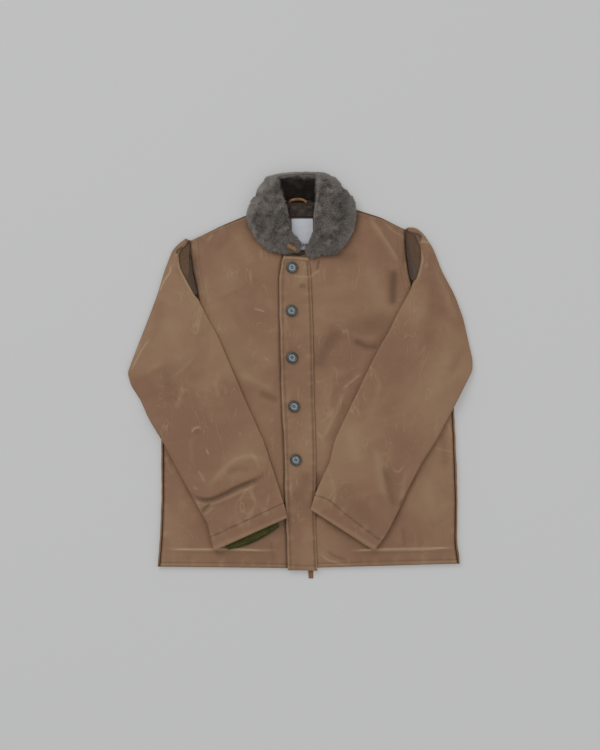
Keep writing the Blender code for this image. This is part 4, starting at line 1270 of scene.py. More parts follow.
@dataclass
class FrontFlap:
    """The buttoned flap over the front edges, with a double row at each side."""

    wardrobe: Wardrobe
    rows: int = 300
    columns: int = 36

    def build(self) -> "FrontFlap":
        """Build the flap, its hems and stitches."""
        node = self.wardrobe.nodes["front_flap"]
        seams = [
            Seam([(x + 7.0, y) for y, x in FLAP_LEFT[:-1]], (1.5, -1.5), 0.4, 0.35, 0.2),
            Seam([(x - 4.5, y) for y, x in FLAP_RIGHT[:-1]], (1.6, -1.6), 0.8, 0.45, 0.55),
            Seam([(-26, 231), (-4, 231.5), (12, 229)], (0.0,), 0.4, 0.3, 0.2),
            Seam([(-20, -380), (30, -381)], (0.0,), 0.3, 0.25, 0.2),
        ]
        base = HeightMap([node], True, 0.0025, 1.6)
        under = HeightMap([node], False, 0.0025, 1.6)
        self.surface = Surface(base, FLAP_FOLDS, seams, 31, 0.22)
        v = np.linspace(0.0, 1.0, self.rows)[:, None]
        u = (0.5 - 0.5 * np.cos(np.pi * np.linspace(0.0, 1.0, self.columns)))[None]
        u = 0.35 * u + 0.65 * np.linspace(0.0, 1.0, self.columns)[None]
        left_y = -390 + v * 631
        right_y = -391 + v * 628
        left_x = np.interp(left_y, [p[0] for p in FLAP_LEFT], [p[1] for p in FLAP_LEFT])
        right_x = np.interp(right_y, [p[0] for p in FLAP_RIGHT], [p[1] for p in FLAP_RIGHT])
        x = (left_x * (1 - u) + right_x * u) * MM
        y = (left_y * (1 - u) + right_y * u) * MM
        wave = 0.0009 * np.sin(y / 0.031 + 1.1 * np.sin(y / 0.017))
        x = x + wave * (1 - u) ** 2
        relief = self.surface.relief(x, y)
        width = (right_x - left_x) * MM
        edge = np.minimum(np.minimum(u * width, (1 - u) * width), np.minimum(v, 1 - v) * 0.63)
        low = under.at(x, y)
        z = base.at(x, y) + relief.z * ease(edge / 0.006 + 0.2)
        z = np.maximum(z - 1.1 * MM * (1 - ease(edge / 0.0028)) ** 1.5, low + 0.9 * MM)
        z += 0.8 * MM * np.exp(-((u * width - 0.003) / 0.003) ** 2)
        # painted shadow along the flap's raised left edge
        left_edge = np.exp(-(u * width / 0.0012) ** 2)
        pale = relief.pale + 0.30 * np.exp(-((u * width - 0.0028) / 0.0014) ** 2)
        pale += 0.5 * np.exp(-(((1 - v) * 0.63 - 0.004) / 0.002) ** 2)
        outer, inner = np.stack([x, y, z], -1), np.stack([x, y, low + 0 * x], -1)
        item = make_shell("front_flap_panel", outer, inner, self.wardrobe.cloth, False,
                          {"pale": pale, "dark": relief.dark + 0.5 * left_edge})
        self.wardrobe.add(item, Slot.CLOTH, "front_flap")
        for seam in seams:
            for row in seam.rows:
                self.wardrobe.stitches.row(seam.path, row, self.surface.top)
        return self


@dataclass
class Sleeve:
    """One sleeve: a tube laid flat, whose head folds over beside the armhole seam."""

    wardrobe: Wardrobe
    name: str
    node: str
    table: SleeveTable
    armhole: Plan
    corner: tuple[float, float]
    folds: Sequence[Fold]
    cuff_line: Plan
    rests_on: Sequence[str]
    flat: tuple[float, float]
    area: float
    steps: int = 252
    groups: tuple[int, int, int, int, int] = (8, 9, 62, 9, 24)
    wall_mm: float = 2.2
    seam_z: float = 11.0
    roll_mm: float = 6.0
    underlap_mm: float = 20.0
    valley_mm: float = 2.6
    open_rows: float = 4.35
    closing_rows: float = 0.65

    def rows(self) -> tuple[Array, Array, Array, Array, Array]:
        """Plan ends of each fine row, where its lower wall begins, its fold, and its place."""
        count = len(self.table.outer)
        keys = np.arange(count, dtype=float)
        outer, inner = np.array(self.table.outer, float), np.array(self.table.inner, float)
        hops = np.linalg.norm(np.diff((outer + inner) / 2, axis=0), axis=1) + 8.0
        length = np.concatenate([[0.0], np.cumsum(hops)])
        r = np.interp(np.linspace(0.0, length[-1], self.steps), length, keys)
        far = np.stack([np.interp(r, keys, outer[:, k]) for k in (0, 1)], -1)
        near = np.stack([np.interp(r, keys, inner[:, k]) for k in (0, 1)], -1)
        back = along((self.corner,) + tuple(self.armhole), np.linspace(1.0, 0.0, CAP_ROWS))
        back = back + np.array([self.table.side * 0.6, 0.0])
        low = np.stack([np.interp(r, np.arange(CAP_ROWS), back[:, k]) for k in (0, 1)], -1)
        fold = np.interp(r, np.arange(CAP_ROWS), self.table.fold)
        return (*(eased(line, 10) for line in (far, near, low, fold)), r)

    def section(self, far: Array, near: Array, low: Array, fold: float, r: float,
                top: HeightMap, under: HeightMap) -> Array:
        """Outline of one section.

        Args:
            far: Its outer end in plan, in millimetres.
            near: Its inner end in plan.
            low: Where its lower wall begins in the cap, in plan.
            fold: How far its fold stands in from the seam.
            r: Its place in the table.
            top: Height of the solid's upper face.
            under: Height of the solid's lower face.

        Returns:
            A closed ring of points, in millimetres.
        """
        length = float(np.hypot(*(far - near)))
        full = float(ease(np.array((r - self.open_rows) / self.closing_rows)))

        def plan(s: Array, start: Array = near) -> Array:
            """Plan points that far from a start towards the outer end."""
            share = np.asarray(s) / np.hypot(*(far - start))
            return start[None] + (far - start)[None] * share[:, None]

        def read(heights: HeightMap, spots: Array) -> Array:
            """Heights of a map, in millimetres."""
            return heights.at(spots[:, 0] * MM, spots[:, 1] * MM) / MM

        g1, g2, g3, g4, g5 = self.groups
        roll = min(self.roll_mm, length * 0.42)
        crest = (1 - full) * min(fold + self.roll_mm, length * 0.6) + full * roll
        s3 = crest + (length - roll - crest) * np.linspace(0.0, 1.0, g3)
        plan3 = plan(s3)
        z3 = read(top, plan3)
        low_start = low * (1 - full) + near * full
        span5 = float(np.hypot(*(far - low_start)))
        inset = (1 - full) * 0.5 + full * min(self.underlap_mm, span5 * 0.4)
        s5 = np.linspace(span5 - roll, inset, g5)
        plan5 = plan(s5, low_start)
        z5 = read(under, plan5)
        angle = np.linspace(0.0, math.pi, g4 + 2)[1:-1]
        middle, half = (z3[-1] + z5[0]) / 2, (z3[-1] - z5[0]) / 2
        plan4 = plan(length - roll + roll * np.sin(angle))
        z4 = middle + half * np.cos(angle)
        valley_s = np.linspace(0.0, max(fold - 0.5, 0.3), g1)
        dip = np.sin(np.pi * np.linspace(0.0, 0.85, g1)) * min(1, fold / 8)
        valley_z = self.seam_z - self.valley_mm * dip
        flat_s = np.linspace(min(self.underlap_mm, length * 0.4), roll, g1)
        flat_plan = plan(flat_s)
        flat_z = read(under, flat_plan)
        plan1 = plan(valley_s) * (1 - full) + flat_plan * full
        z1 = valley_z * (1 - full) + flat_z * full
        turn = np.linspace(0.0, math.pi, g2 + 2)[1:-1]
        foot, head = z1[-1], z3[0]
        bulge = (1 - full) * min(3.0, fold * 0.3) + full * roll
        start_s = (1 - full) * max(fold - 0.5, 0.3) + full * roll
        s2 = start_s + (crest - start_s) * (turn / math.pi) ** 1.5 - bulge * np.sin(turn)
        z2 = (foot + head) / 2 - (head - foot) / 2 * np.cos(turn)
        plan2 = plan(s2)
        return np.concatenate([
            np.concatenate([plan1, z1[:, None]], 1), np.concatenate([plan2, z2[:, None]], 1),
            np.concatenate([plan3, z3[:, None]], 1), np.concatenate([plan4, z4[:, None]], 1),
            np.concatenate([plan5, z5[:, None]], 1)])

    def build(self) -> "Sleeve":
        """Build the sleeve and its cuff stitches."""
        node = self.wardrobe.nodes[self.node]
        top, under = HeightMap([node], True, soft=1.5), HeightMap([node], False, soft=2.0)
        seams = [Seam(self.cuff_line, (0.0,), 0.7, 0.5, 0.5)]
        self.surface = Surface(top, self.folds, seams, 41 + self.table.side, 0.5)
        far, near, low, fold, r = self.rows()
        outer = np.stack([self.section(*row, top, under)
                          for row in zip(far, near, low, fold, r)]) * MM
        g1, g2, g3 = self.groups[:3]
        outer[..., 2] = eased(outer[..., 2], 2)
        outer = eased(outer.swapaxes(0, 1), 1).swapaxes(0, 1)
        inner = self.inside(outer)
        relief = self.surface.relief(outer[..., 0], outer[..., 1])
        weight = np.zeros(outer.shape[:2])
        weight[:, g1 + g2 // 2:g1 + g2 + g3 + 3] = 1.0
        cap = np.clip(1 - (r - 4.0), 0.0, 1.0)[:, None]
        edge = np.ones(g3)
        edge[:6] = np.linspace(0.4, 1.0, 6)
        edge[-6:] = np.linspace(1.0, 0.5, 6)
        weight[:, g1 + g2:g1 + g2 + g3] *= edge
        outer[..., 2] += relief.z * weight
        inner[..., 2] += relief.z * weight * 0.7
        dark = relief.dark * (weight > 0)
        pale = relief.pale * (weight > 0)
        # painted shade in the cap's valley under the rolled fold
        dark[:, :g1] += 0.92 * cap
        dark[:, g1:g1 + g2 // 2] += 0.7 * cap
        # pale line along the rolled fold edge: crease wear and a painted highlight
        line = np.exp(-((np.arange(outer.shape[1]) - (g1 + g2 * 0.62)) / 1.6) ** 2)[None]
        pale += line * (0.35 + 0.55 * cap)
        tail = np.exp(-((np.arange(self.steps)[::-1] - 2.0) / 1.5) ** 2)[:, None]
        pale += 0.25 * tail
        item = make_shell(self.name, outer, inner, self.wardrobe.cloth, True,
                          {"pale": pale, "dark": dark})
        self.wardrobe.add(item, Slot.CLOTH, self.node)
        self.wardrobe.stitches.row(self.cuff_line, 0.0, self.surface.top)
        return self

    def inside(self, outer: Array) -> Array:
        """The inner skin: the outer one moved in along its sections."""
        around = np.roll(outer, -1, 1) - np.roll(outer, 1, 1)
        normal = np.cross(around, np.gradient(outer, axis=0))
        normal /= np.maximum(np.linalg.norm(normal, axis=-1), 1e-9)[..., None]
        g1, g2, g3 = self.groups[:3]
        if normal[:, g1 + g2 + g3 // 2, 2].mean() > 0:
            normal = -normal
        return outer + normal * self.wall_mm * MM


@dataclass
class RibCuff:
    """The knitted cuff that shows out of the right sleeve: a flat ribbed tube."""

    wardrobe: Wardrobe
    far: tuple[float, float] = (-173.0, -351.0)
    near: tuple[float, float] = (-25.0, -284.0)
    ribs: int = 30
    across: int = 240
    lengthwise: int = 22
    hidden_mm: float = 30.0

    def build(self) -> bpy.types.Object:
        """Build the cuff."""
        node = self.wardrobe.nodes["rib_cuff_right"]
        top, under = HeightMap([node], True, 0.002, 1.5), HeightMap([node], False, 0.002, 1.5)
        far, near = np.array(self.far), np.array(self.near)
        way = (near - far) / np.linalg.norm(near - far)
        out = np.array([way[1], -way[0]])
        turn = np.linspace(0.0, math.tau, self.across, endpoint=False)
        w = 0.5 - 0.5 * np.cos(turn)
        upper = np.sin(turn) < 0
        reach = (9.5 + 8.0 * np.sin(np.pi * w))[None]
        reach = reach - np.where(upper, 1.6 + 2.2 * np.sin(np.pi * w), 0.0)[None]
        share = np.linspace(0.0, 1.0, self.lengthwise)[:, None]
        depth = -self.hidden_mm + (self.hidden_mm + reach) * share
        along_cuff = (0.17 + 0.69 * w)[:, None]
        spot = far[None] * (1 - along_cuff) + near[None] * along_cuff
        plan = spot[None] + out[None, None] * depth[..., None]
        x, y = plan[..., 0] * MM, plan[..., 1] * MM
        high, low = top.at(x, y), under.at(x, y)
        rib = 0.45 * MM * np.abs(np.cos(turn * self.ribs))[None]
        middle, half = (high + low) / 2, np.maximum((high - low) / 2, 1.9 * MM)
        lift = np.sign(-np.sin(turn)) * np.abs(np.sin(turn)) ** 0.35
        z = middle + half * lift[None] + rib * lift[None]
        z += np.where(upper, 1.1 * MM, 0.0)[None] * np.sin(np.pi * w)[None] ** 2 * share ** 4
        outer = np.stack([x, y, z], -1)
        inner = outer.copy()
        inner[..., 2] -= (1.5 * MM * lift)[None]
        inner[..., 0] += (MM * (0.5 - w))[None]
        # painted shade in the grooves between the ribs
        dark = 0.35 * (1 - np.abs(np.cos(turn * self.ribs)))[None] * np.ones_like(x)
        item = make_shell("rib_cuff_knit", outer, inner, self.wardrobe.rib, True,
                          {"dark": dark, "pale": np.zeros_like(x)})
        self.wardrobe.add(item, Slot.RIB, "rib_cuff_right")
        return item


@dataclass
class Collar:
    """The shawl collar: a soft base under dense clipped fur."""

    wardrobe: Wardrobe
    voxel: float = 0.0028
    skin: float = 0.0032
    strands: int = 100000
    long_mm: float = 5.4
    folds: Sequence[Fold] = (
        Fold(((26, 275), (46, 285), (70, 287)), 7, 3.2, 0.6),
        Fold(((34, 262), (56, 272), (80, 272)), 6, -4.0, 0.0, 0.7),
        Fold(((40, 300), (52, 330), (50, 360)), 16, -2.6, 0.0, 0.3),
        Fold(((-60, 300), (-66, 330), (-60, 352)), 18, -2.6, 0.0, 0.3),
        Fold(((-80, 282), (-50, 268), (-24, 262)), 10, -2.0, 0.0, 0.25),
    )

    def build(self) -> None:
        """Build the base and the fur on it."""
        base = self.base()
        self.wardrobe.add(base, Slot.FUR, "collar")
        half = self.strands // 2
        for number, name in enumerate(("collar_fur_right", "collar_fur_left")):
            fur = self.fur(base, name, number, half)
            self.wardrobe.add(fur, Slot.FUR)

    def base(self) -> bpy.types.Object:
        """The collar's form, freed of facets, a little under the fur's surface."""
        mesh = self.wardrobe.nodes["collar"].data.copy()
        item = bpy.data.objects.new("collar_base", mesh)
        bpy.context.scene.collection.objects.link(item)
        remesh = item.modifiers.new("even", "REMESH")
        remesh.mode, remesh.voxel_size = "VOXEL", self.voxel
        soften = item.modifiers.new("soften", "SMOOTH")
        soften.factor, soften.iterations = 0.5, 10
        shape = item.evaluated_get(bpy.context.evaluated_depsgraph_get())
        done = bpy.data.meshes.new_from_object(shape)
        item.modifiers.clear()
        item.data = done
        bpy.data.meshes.remove(mesh)
        points = np.array([v.co for v in done.vertices])
        normals = np.array([v.normal for v in done.vertices])
        relief = Relief.bare(points[:, 0])
        for fold in self.folds:
            fold.add(points[:, 0], points[:, 1], relief)
        relief.z += 0.9 * MM * Lump(7, 0.05, 0.016).at(points[:, 0], points[:, 1])
        up = np.clip(normals[:, 2], 0.0, 1.0)
        points -= normals * self.skin * np.where(normals[:, 2] < -0.7, 0.1, 1.0)[:, None]
        points[:, 2] += relief.z * up
        done.vertices.foreach_set("co", points.ravel())
        done.update()
        done.shade_smooth()
        done.materials.clear()
        done.materials.append(self.wardrobe.fur)
        count = len(points)
        # the base gets the painted shade of the neck as deep
        for key, numbers in (("tip", np.full(count, 0.12)), ("light", np.zeros(count)),
                             ("deep", self.deep(points))):
            layer = done.attributes.new(key, "FLOAT", "POINT")
            layer.data.foreach_set("value", numbers.astype(np.float32))
        return item

    @staticmethod
    def deep(points: Array) -> Array:
        """How far each point lies in the neck's hollow, where dark shade is painted, 0 to 1."""
        x, y = points[:, 0] / MM, points[:, 1] / MM
        left = np.interp(y, (240, 345, 366, 391), (-12, -28, -36, -42))
        right = np.interp(y, (240, 292, 330, 366, 391), (9, 24, 27, 33, 34))
        across = ease((x - left) / 4.0) * ease((right - x) / 4.0)
        return across * ease((398.0 - y) / 10.0) * ease((y - 300.0) / 40.0)

    def fur(self, base: bpy.types.Object, name: str, number: int, count: int) -> bpy.types.Object:
        """Strands over one half of the collar.

        Args:
            base: The form that they stand on.
            name: Name of the piece.
            number: 0 for the half at lower x, 1 for the other.
            count: How many strands.

        Returns:
            The joined strands.
        """
        draw = np.random.default_rng(70 + number)
        mesh = base.data
        mesh.calc_loop_triangles()
        tri = np.array([t.vertices for t in mesh.loop_triangles])
        points = np.array([v.co for v in mesh.vertices])
        normals = np.array([v.normal for v in mesh.vertices])
        centre = points[tri].mean(1)
        face_normal = normals[tri].mean(1)
        area = np.linalg.norm(np.cross(points[tri[:, 1]] - points[tri[:, 0]],
                                       points[tri[:, 2]] - points[tri[:, 0]]), axis=1)
        want = (centre[:, 0] < 0.002) if number == 0 else (centre[:, 0] >= 0.002)
        want &= face_normal[:, 2] > -0.45
        weight = area * want * (0.35 + 0.65 * np.clip(face_normal[:, 2] + 0.4, 0, 1))
        chosen = draw.choice(len(tri), count, p=weight / weight.sum())
        a, b = draw.random((2, count))
        flip = a + b > 1
        a, b = np.where(flip, 1 - a, a), np.where(flip, 1 - b, b)
        mixers = np.stack([1 - a - b, a, b], 1)[..., None]
        root = (points[tri[chosen]] * mixers).sum(1)
        normal = (normals[tri[chosen]] * mixers).sum(1)
        normal /= np.linalg.norm(normal, axis=1)[:, None]
        return self.strand_mesh(name, root, normal, draw)

    def strand_mesh(self, name: str, root: Array, normal: Array, draw: np.random.Generator
                    ) -> bpy.types.Object:
        """Make tapered three-sided strands, drawn together in clumps."""
        count = len(root)
        out = root[:, :2] - np.array([0.004, 0.325])
        out /= np.maximum(np.linalg.norm(out, axis=1), 1e-6)[:, None]
        comb = np.concatenate([out * 0.35, np.zeros((count, 1))], 1)
        comb[:, 1] -= 0.10
        sway = np.stack([Lump(81, 0.05, 0.012).at(root[:, 0], root[:, 1]),
                         Lump(82, 0.05, 0.012).at(root[:, 0], root[:, 1]),
                         np.zeros(count)], 1) * 0.75
        way = normal + comb + sway + draw.normal(0.0, 0.16, (count, 3))
        way /= np.linalg.norm(way, axis=1)[:, None]
        long = self.long_mm * MM * draw.uniform(0.72, 1.12, count)
        centres = root[draw.choice(count, count // 26, replace=False)]
        tree = KDTree(len(centres))
        for i, spot in enumerate(centres):
            tree.insert(spot, i)
        tree.balance()
        nearest = np.array([tree.find(spot)[1] for spot in root])
        pull = centres[nearest] - root
        tone = draw.normal(0.0, 1.0, len(centres))[nearest]
        tip = root + way * long[:, None] + pull * 0.42
        side = np.cross(way, draw.normal(0.0, 1.0, (count, 3)))
        side /= np.maximum(np.linalg.norm(side, axis=1), 1e-9)[:, None]
        other = np.cross(way, side)
        wide = 0.34 * MM * draw.uniform(0.8, 1.3, count)[:, None]
        sink = root - normal * 0.4 * MM
        corners = [sink + side * wide, sink - side * wide * 0.5 + other * wide * 0.87,
                   sink - side * wide * 0.5 - other * wide * 0.87]
        verts = np.stack([*corners, tip], 1).reshape(-1, 3)
        start = (np.arange(count) * 4)[:, None]
        faces = np.concatenate([start + np.array(f)[None] for f in ((0, 1, 3), (1, 2, 3),
                                                                    (2, 0, 3))])
        light = np.clip(0.38 + 0.20 * tone + draw.normal(0.0, 0.16, count), 0.0, 1.0)
        # painted highlight along the collar's rolled outer edge
        light += 0.35 * self.pale_tint(root)
        # painted shade in the neck's hollow
        deep = self.deep(root)
        values = {
            "tip": np.tile([0.1, 0.1, 0.1, 1.0], count),
            "light": np.repeat(light, 4),
            "deep": np.repeat(deep, 4),
        }
        return make_object(name, verts, faces.tolist(), self.wardrobe.fur, values)

    @staticmethod
    def pale_tint(root: Array) -> Array:
        """Lighter fur along the outer and lower edges, where the collar rolls over: a painted
        highlight, 0 to 1.
        """
        ring = np.hypot((root[:, 0] - 0.004) / 0.110, (root[:, 1] - 0.322) / 0.084)
        return ease((ring - 0.72) / 0.25)


@dataclass
class NeckPieces:
    """Pile band, bare label, hanger loop and throat loop."""

    wardrobe: Wardrobe

    def patch(self, name: str, node: str, box: tuple[float, float, float, float], slot: Slot,
              material: bpy.types.Material, lump: float, steps: tuple[int, int]
              ) -> bpy.types.Object:
        """A small flat piece on its solid.

        Args:
            name: Its name.
            node: Its solid.
            box: Left, right, low and high, in millimetres.
            slot: Its material slot.
            material: Its material.
            lump: Height of its undulation, in millimetres.
            steps: Columns and rows.

        Returns:
            The piece.
        """
        solid = self.wardrobe.nodes[node]
        top, under = HeightMap([solid], True, 0.002, 1.0), HeightMap([solid], False, 0.002, 1.0)
        left, right, low, high = box
        u, v = np.meshgrid(np.linspace(0, 1, steps[0]), np.linspace(0, 1, steps[1]))
        x, y = (left + (right - left) * u) * MM, (low + (high - low) * v) * MM
        wave = Lump(len(name), 0.03, 0.010).at(x, y)
        edge = np.minimum(np.minimum(u, 1 - u) * (right - left), np.minimum(v, 1 - v) * (high - low))
        z = top.at(x, y) + lump * MM * (wave + 1.0) - 0.25 * MM * (1 - ease(edge / 1.2))
        base = under.at(x, y)
        dark = 0.7 * (1 - ease(edge / 1.5)) * (material is not self.wardrobe.label)
        shell = make_shell(name, np.stack([x, y, z], -1), np.stack([x, y, base], -1), material,
                           False, {"pale": np.zeros_like(x), "dark": dark + 0 * x})
        self.wardrobe.add(shell, slot, node)
        return shell

    def ribbon(self, name: str, node: str, path: Plan, wide: float, thick: float, seed: int
               ) -> None:
        """A strap with rounded edges along a plan line, on its solid's height.

        Args:
            name: Its name.
            node: Its solid.
            path: Its middle line, in millimetres.
            wide: Its width, in millimetres.
            thick: Its thickness, in millimetres.
            seed: Seed of its small undulation.
        """
        solid = self.wardrobe.nodes[node]
        top, under = HeightMap([solid], True, 0.0015, 1.2), HeightMap([solid], False, 0.0015, 1.2)
        line = curve(path, 48, 4) * MM
        way = np.gradient(line, axis=0)
        way /= np.linalg.norm(way, axis=1)[:, None]
        side = np.stack([-way[:, 1], way[:, 0]], 1)
        turn = np.linspace(0.0, math.tau, 20, endpoint=False)
        across = np.sign(np.cos(turn)) * np.abs(np.cos(turn)) ** 0.5 * wide / 2
        up = np.sign(np.sin(turn)) * np.abs(np.sin(turn)) ** 0.6 * thick / 2
        plan = line[:, None] + side[:, None] * (across * MM)[None, :, None]
        middle = (top.at(plan[..., 0], plan[..., 1]) + under.at(plan[..., 0], plan[..., 1])) / 2
        lump = Lump(seed, 0.02, 0.006).at(plan[..., 0], plan[..., 1]) * 0.15 * MM
        points = np.concatenate([plan, (middle + up * MM + lump)[..., None]], -1)
        rows, columns = points.shape[:2]
        faces = grid_quads(rows, columns, True)
        faces += [list(range(columns))[::-1], list(range((rows - 1) * columns, rows * columns))]
        pale = np.repeat((np.abs(across) > wide * 0.42)[None] * 0.35, rows, 0)
        item = make_object(name, points.reshape(-1, 3), faces, self.wardrobe.trim,
                           {"pale": pale.ravel(), "dark": np.zeros(rows * columns)})
        self.wardrobe.add(item, Slot.TRIM, node)

    def build(self) -> None:
        """Build the four pieces and the tie at the hem."""
        w = self.wardrobe
        band = self.patch("neck_band_pile", "neck_band", (-22, 27, 318, 341), Slot.PILE, w.pile,
                          0.35, (60, 30))
        label = self.patch("neck_label_tape", "neck_label", (-17, 26, 252, 314), Slot.LABEL,
                           w.label, 0.25, (50, 70))
        share = np.array([0.0, 0.06, 0.14, 0.25, 0.4, 0.5, 0.6, 0.75, 0.86, 0.94, 1.0])
        arch = [(-22 + 35 * t, 345.5 + 7.5 * math.sin(math.pi * t) ** 0.5) for t in share]
        self.ribbon("hanger_loop_strap", "hanger_loop", arch, 4.8, 1.7, 5)
        self.ribbon("throat_loop_tab", "throat_loop", ((-25, 260), (-17, 256), (-8, 251)), 8.0,
                    2.6, 6)
        self.ribbon("hem_tie_end", "hem_tie", ((21.8, -386.4), (21.8, -396), (21.8, -407)),
                    10.2, 2.3, 7)


@dataclass
class Buttons:
    """Five four-hole buttons sewn through the flap, with worked buttonholes beside them."""

    wardrobe: Wardrobe
    flap: FrontFlap
    places: Plan = ((-16, 216.2), (-17, 129.6), (-16, 35.8), (-12, -61.8), (-8.4, -168.8))
    radius: float = 11.5
    rings: int = 34
    around: int = 72

    def build(self) -> None:
        """Build the buttons, their thread and the buttonholes."""
        for number, (x, y) in enumerate(self.places, start=1):
            self.button(number, x, y)
            self.hole(x + 11.0, y - 0.5, 7.0, 0.0 if number % 2 else -0.08)
        self.keyhole()

    def profile(self, r: Array) -> tuple[Array, Array]:
        """Height and paleness of a button at shares of its radius."""
        height = np.interp(r, (0.0, 0.45, 0.55, 0.66, 0.80, 0.92, 0.98, 1.0),
                           (2.5, 2.5, 2.6, 3.5, 4.2, 3.8, 2.9, 1.9))
        pale = np.interp(r, (0.0, 0.48, 0.58, 0.64), (0.85, 0.9, 0.5, 0.0))
        return height, pale

    def button(self, number: int, x: float, y: float) -> None:
        """One button with its cross of thread."""
        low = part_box(f"button_{number}")[0]
        r = np.concatenate([np.linspace(0.02, 1.0, self.rings), [0.97, 0.86, 0.5, 0.02]])
        turn = np.linspace(0.0, math.tau, self.around, endpoint=False)
        z, pale = self.profile(r)
        z[self.rings:] = (0.9, 0.2, 0.1, 0.1)
        px = r[:, None] * self.radius * np.cos(turn)[None]
        py = r[:, None] * self.radius * np.sin(turn)[None]
        pz = z[:, None] + 0.0 * px
        dark = np.zeros(px.shape)
        holes = [(1.55 * a, 1.55 * b) for a in (-1, 1) for b in (-1, 1)]
        tilt = 0.2 * number
        for a, b in holes:
            hx = a * math.cos(tilt) - b * math.sin(tilt)
            hy = a * math.sin(tilt) + b * math.cos(tilt)
            well = np.exp(-(np.hypot(px - hx, py - hy) / 0.95) ** 4)
            well[self.rings:] = 0.0
            pz -= 1.5 * well
            # painted shade in the hole's well
            dark += well
        points = np.stack([x + px, y + py, low.z / MM + pz], -1) * MM
        rows = len(r)
        faces = grid_quads(rows, self.around, True)
        faces += [list(range(self.around))[::-1],
                  list(range((rows - 1) * self.around, rows * self.around))]
        item = make_object(f"coat_button_{number}", points.reshape(-1, 3), faces,
                           self.wardrobe.plastic,
                           {"pale": np.repeat(pale, self.around), "dark": dark.ravel()})
        self.wardrobe.add(item, Slot.BUTTON, f"button_{number}")
        sewing = Stitcher(3.9, 0.0, 0.9, 0.9)
        level = low.z + 2.75 * MM
        for b in (-1.55, 1.55):
            ends = np.array([(-1.95, b), (1.95, b)])
            spun = np.stack([ends[:, 0] * math.cos(tilt) - ends[:, 1] * math.sin(tilt),
                             ends[:, 0] * math.sin(tilt) + ends[:, 1] * math.cos(tilt)], 1)
            sewing.sew((spun + np.array([x, y])) * MM, lambda a, c: np.full_like(a, level))
        self.wardrobe.add(sewing.made(f"button_thread_{number}", self.wardrobe.thread), None)

    def hole(self, x: float, y: float, long: float, tilt: float) -> None:
        """The visible end of a worked buttonhole: a short bar of tan thread."""
        sewing = self.wardrobe.holes
        for side in (-0.9, 0.9):
            start = np.array([(x, y + side), (x + long, y + side * 0.5 + tilt * long)]) * MM
            sewing.sew(start, self.flap.surface.top)

    def keyhole(self) -> None:
        """The open buttonhole low on the flap: two worked lips round an eye."""
        sewing = self.wardrobe.holes
        eye = np.array([-17.0, -289.0])
        turn = np.linspace(0.35, math.tau - 0.35, 26)
        ring = eye + np.stack([3.0 * np.cos(turn), 2.7 * np.sin(turn)], 1)
        lips = [ring]
        for side in (1, -1):
            lips.append(np.array([(-14.2, -289.0 + side * 1.3), (-4.0, -288.4 + side * 1.2),
                                  (5.0, -287.6 + side * 1.1), (13.5, -287.0 + side * 0.7)]))
        for lip in lips:
            for shift in (0.0, 0.9):
                sewing.sew((lip + np.array([0.0, shift * 0.5])) * MM, self.flap.surface.top)


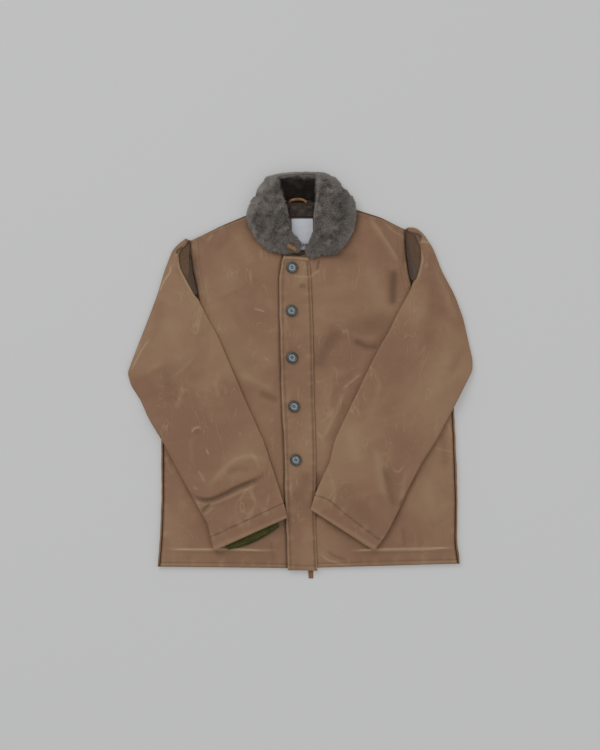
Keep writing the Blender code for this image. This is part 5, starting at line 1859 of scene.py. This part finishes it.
@dataclass(frozen=True)
class Studio:
    """Pale floor, soft light from the upper left, and a camera straight above."""

    height: float = 5.5
    frame_height: float = 1.5
    mean_z: float = 0.016

    def build(self) -> None:
        """Make the stage, the lights and the camera."""
        self.floor()
        self.lamp("key_light", (-1.9, 2.3, 3.4), 2.6, 62.0)
        self.lamp("fill_light", (2.4, -0.8, 3.6), 3.0, 20.0)
        world = bpy.data.worlds.new("studio")
        world.use_nodes = True
        world.node_tree.nodes["Background"].inputs[0].default_value = (0.96, 0.98, 1.0, 1.0)
        world.node_tree.nodes["Background"].inputs[1].default_value = 0.62
        bpy.context.scene.world = world
        self.camera()

    @staticmethod
    def floor() -> None:
        """A wide pale floor."""
        s = Shade("pale_floor")
        material = s.finish((0.90, 0.905, 0.885), 0.9, (), Specular_IOR_Level=0.1)
        size = 6.0
        item = make_object("floor", np.array([(-size, -size, 0), (size, -size, 0),
                                              (size, size, 0), (-size, size, 0)]),
                           [(0, 1, 2, 3)], material)
        item.location.z = -0.0003

    @staticmethod
    def lamp(name: str, place: tuple[float, float, float], size: float, power: float) -> None:
        """A square soft light that looks at the jacket."""
        light = bpy.data.lights.new(name, "AREA")
        light.shape, light.size, light.energy = "SQUARE", size, power
        item = bpy.data.objects.new(name, light)
        item.location = place
        item.rotation_euler = (-Vector(place)).to_track_quat("-Z", "Y").to_euler()
        bpy.context.scene.collection.objects.link(item)

    def camera(self) -> None:
        """A long lens straight above the middle of the frame."""
        data = bpy.data.cameras.new("camera")
        data.sensor_width = 36.0
        data.lens = data.sensor_width * self.height / self.frame_height
        data.clip_end = 50.0
        item = bpy.data.objects.new("camera", data)
        item.location = (0.0, 0.001, self.height + self.mean_z)
        bpy.context.scene.collection.objects.link(item)
        bpy.context.scene.camera = item


def main() -> None:
    """Build the jacket's looks in order."""
    logging.basicConfig(level=logging.INFO, format="%(message)s")
    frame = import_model()
    wardrobe = Wardrobe(frame)
    Studio().build()
    BackPanel(wardrobe).build()
    FrontPanel(wardrobe, "front_panel_right", "front_right", -1, RIGHT_FRONT_FOLDS,
               (0.32, 0.73), 0.185).build()
    FrontPanel(wardrobe, "front_panel_left", "front_left", 1, LEFT_FRONT_FOLDS,
               (0.34, 0.74), 0.195).build()
    flap = FrontFlap(wardrobe).build()
    Sleeve(wardrobe, "sleeve_cloth_right", "sleeve_right", RIGHT_SLEEVE, RIGHT_ARMHOLE,
           RIGHT_SIDE[-1], RIGHT_SLEEVE_FOLDS, ((-179.5, -323), (-106, -289), (-34, -255)),
           ("front_panel_right", "back_panel"), (0.42, 0.66), 0.235).build()
    Sleeve(wardrobe, "sleeve_cloth_left", "sleeve_left", LEFT_SLEEVE, LEFT_ARMHOLE,
           LEFT_SIDE[-1], LEFT_SLEEVE_FOLDS,
           ((28.6, -239), (55, -246), (89.6, -276), (128.6, -306), (163, -331)),
           ("front_panel_left", "back_panel"), (0.42, 0.68), 0.245).build()
    RibCuff(wardrobe).build()
    NeckPieces(wardrobe).build()
    Collar(wardrobe).build()
    Buttons(wardrobe, flap).build()
    wardrobe.add(wardrobe.stitches.made("seam_stitches", wardrobe.thread), None)
    wardrobe.add(wardrobe.holes.made("buttonhole_stitches", wardrobe.tan_thread), None)


if __name__ == "__main__":
    main()
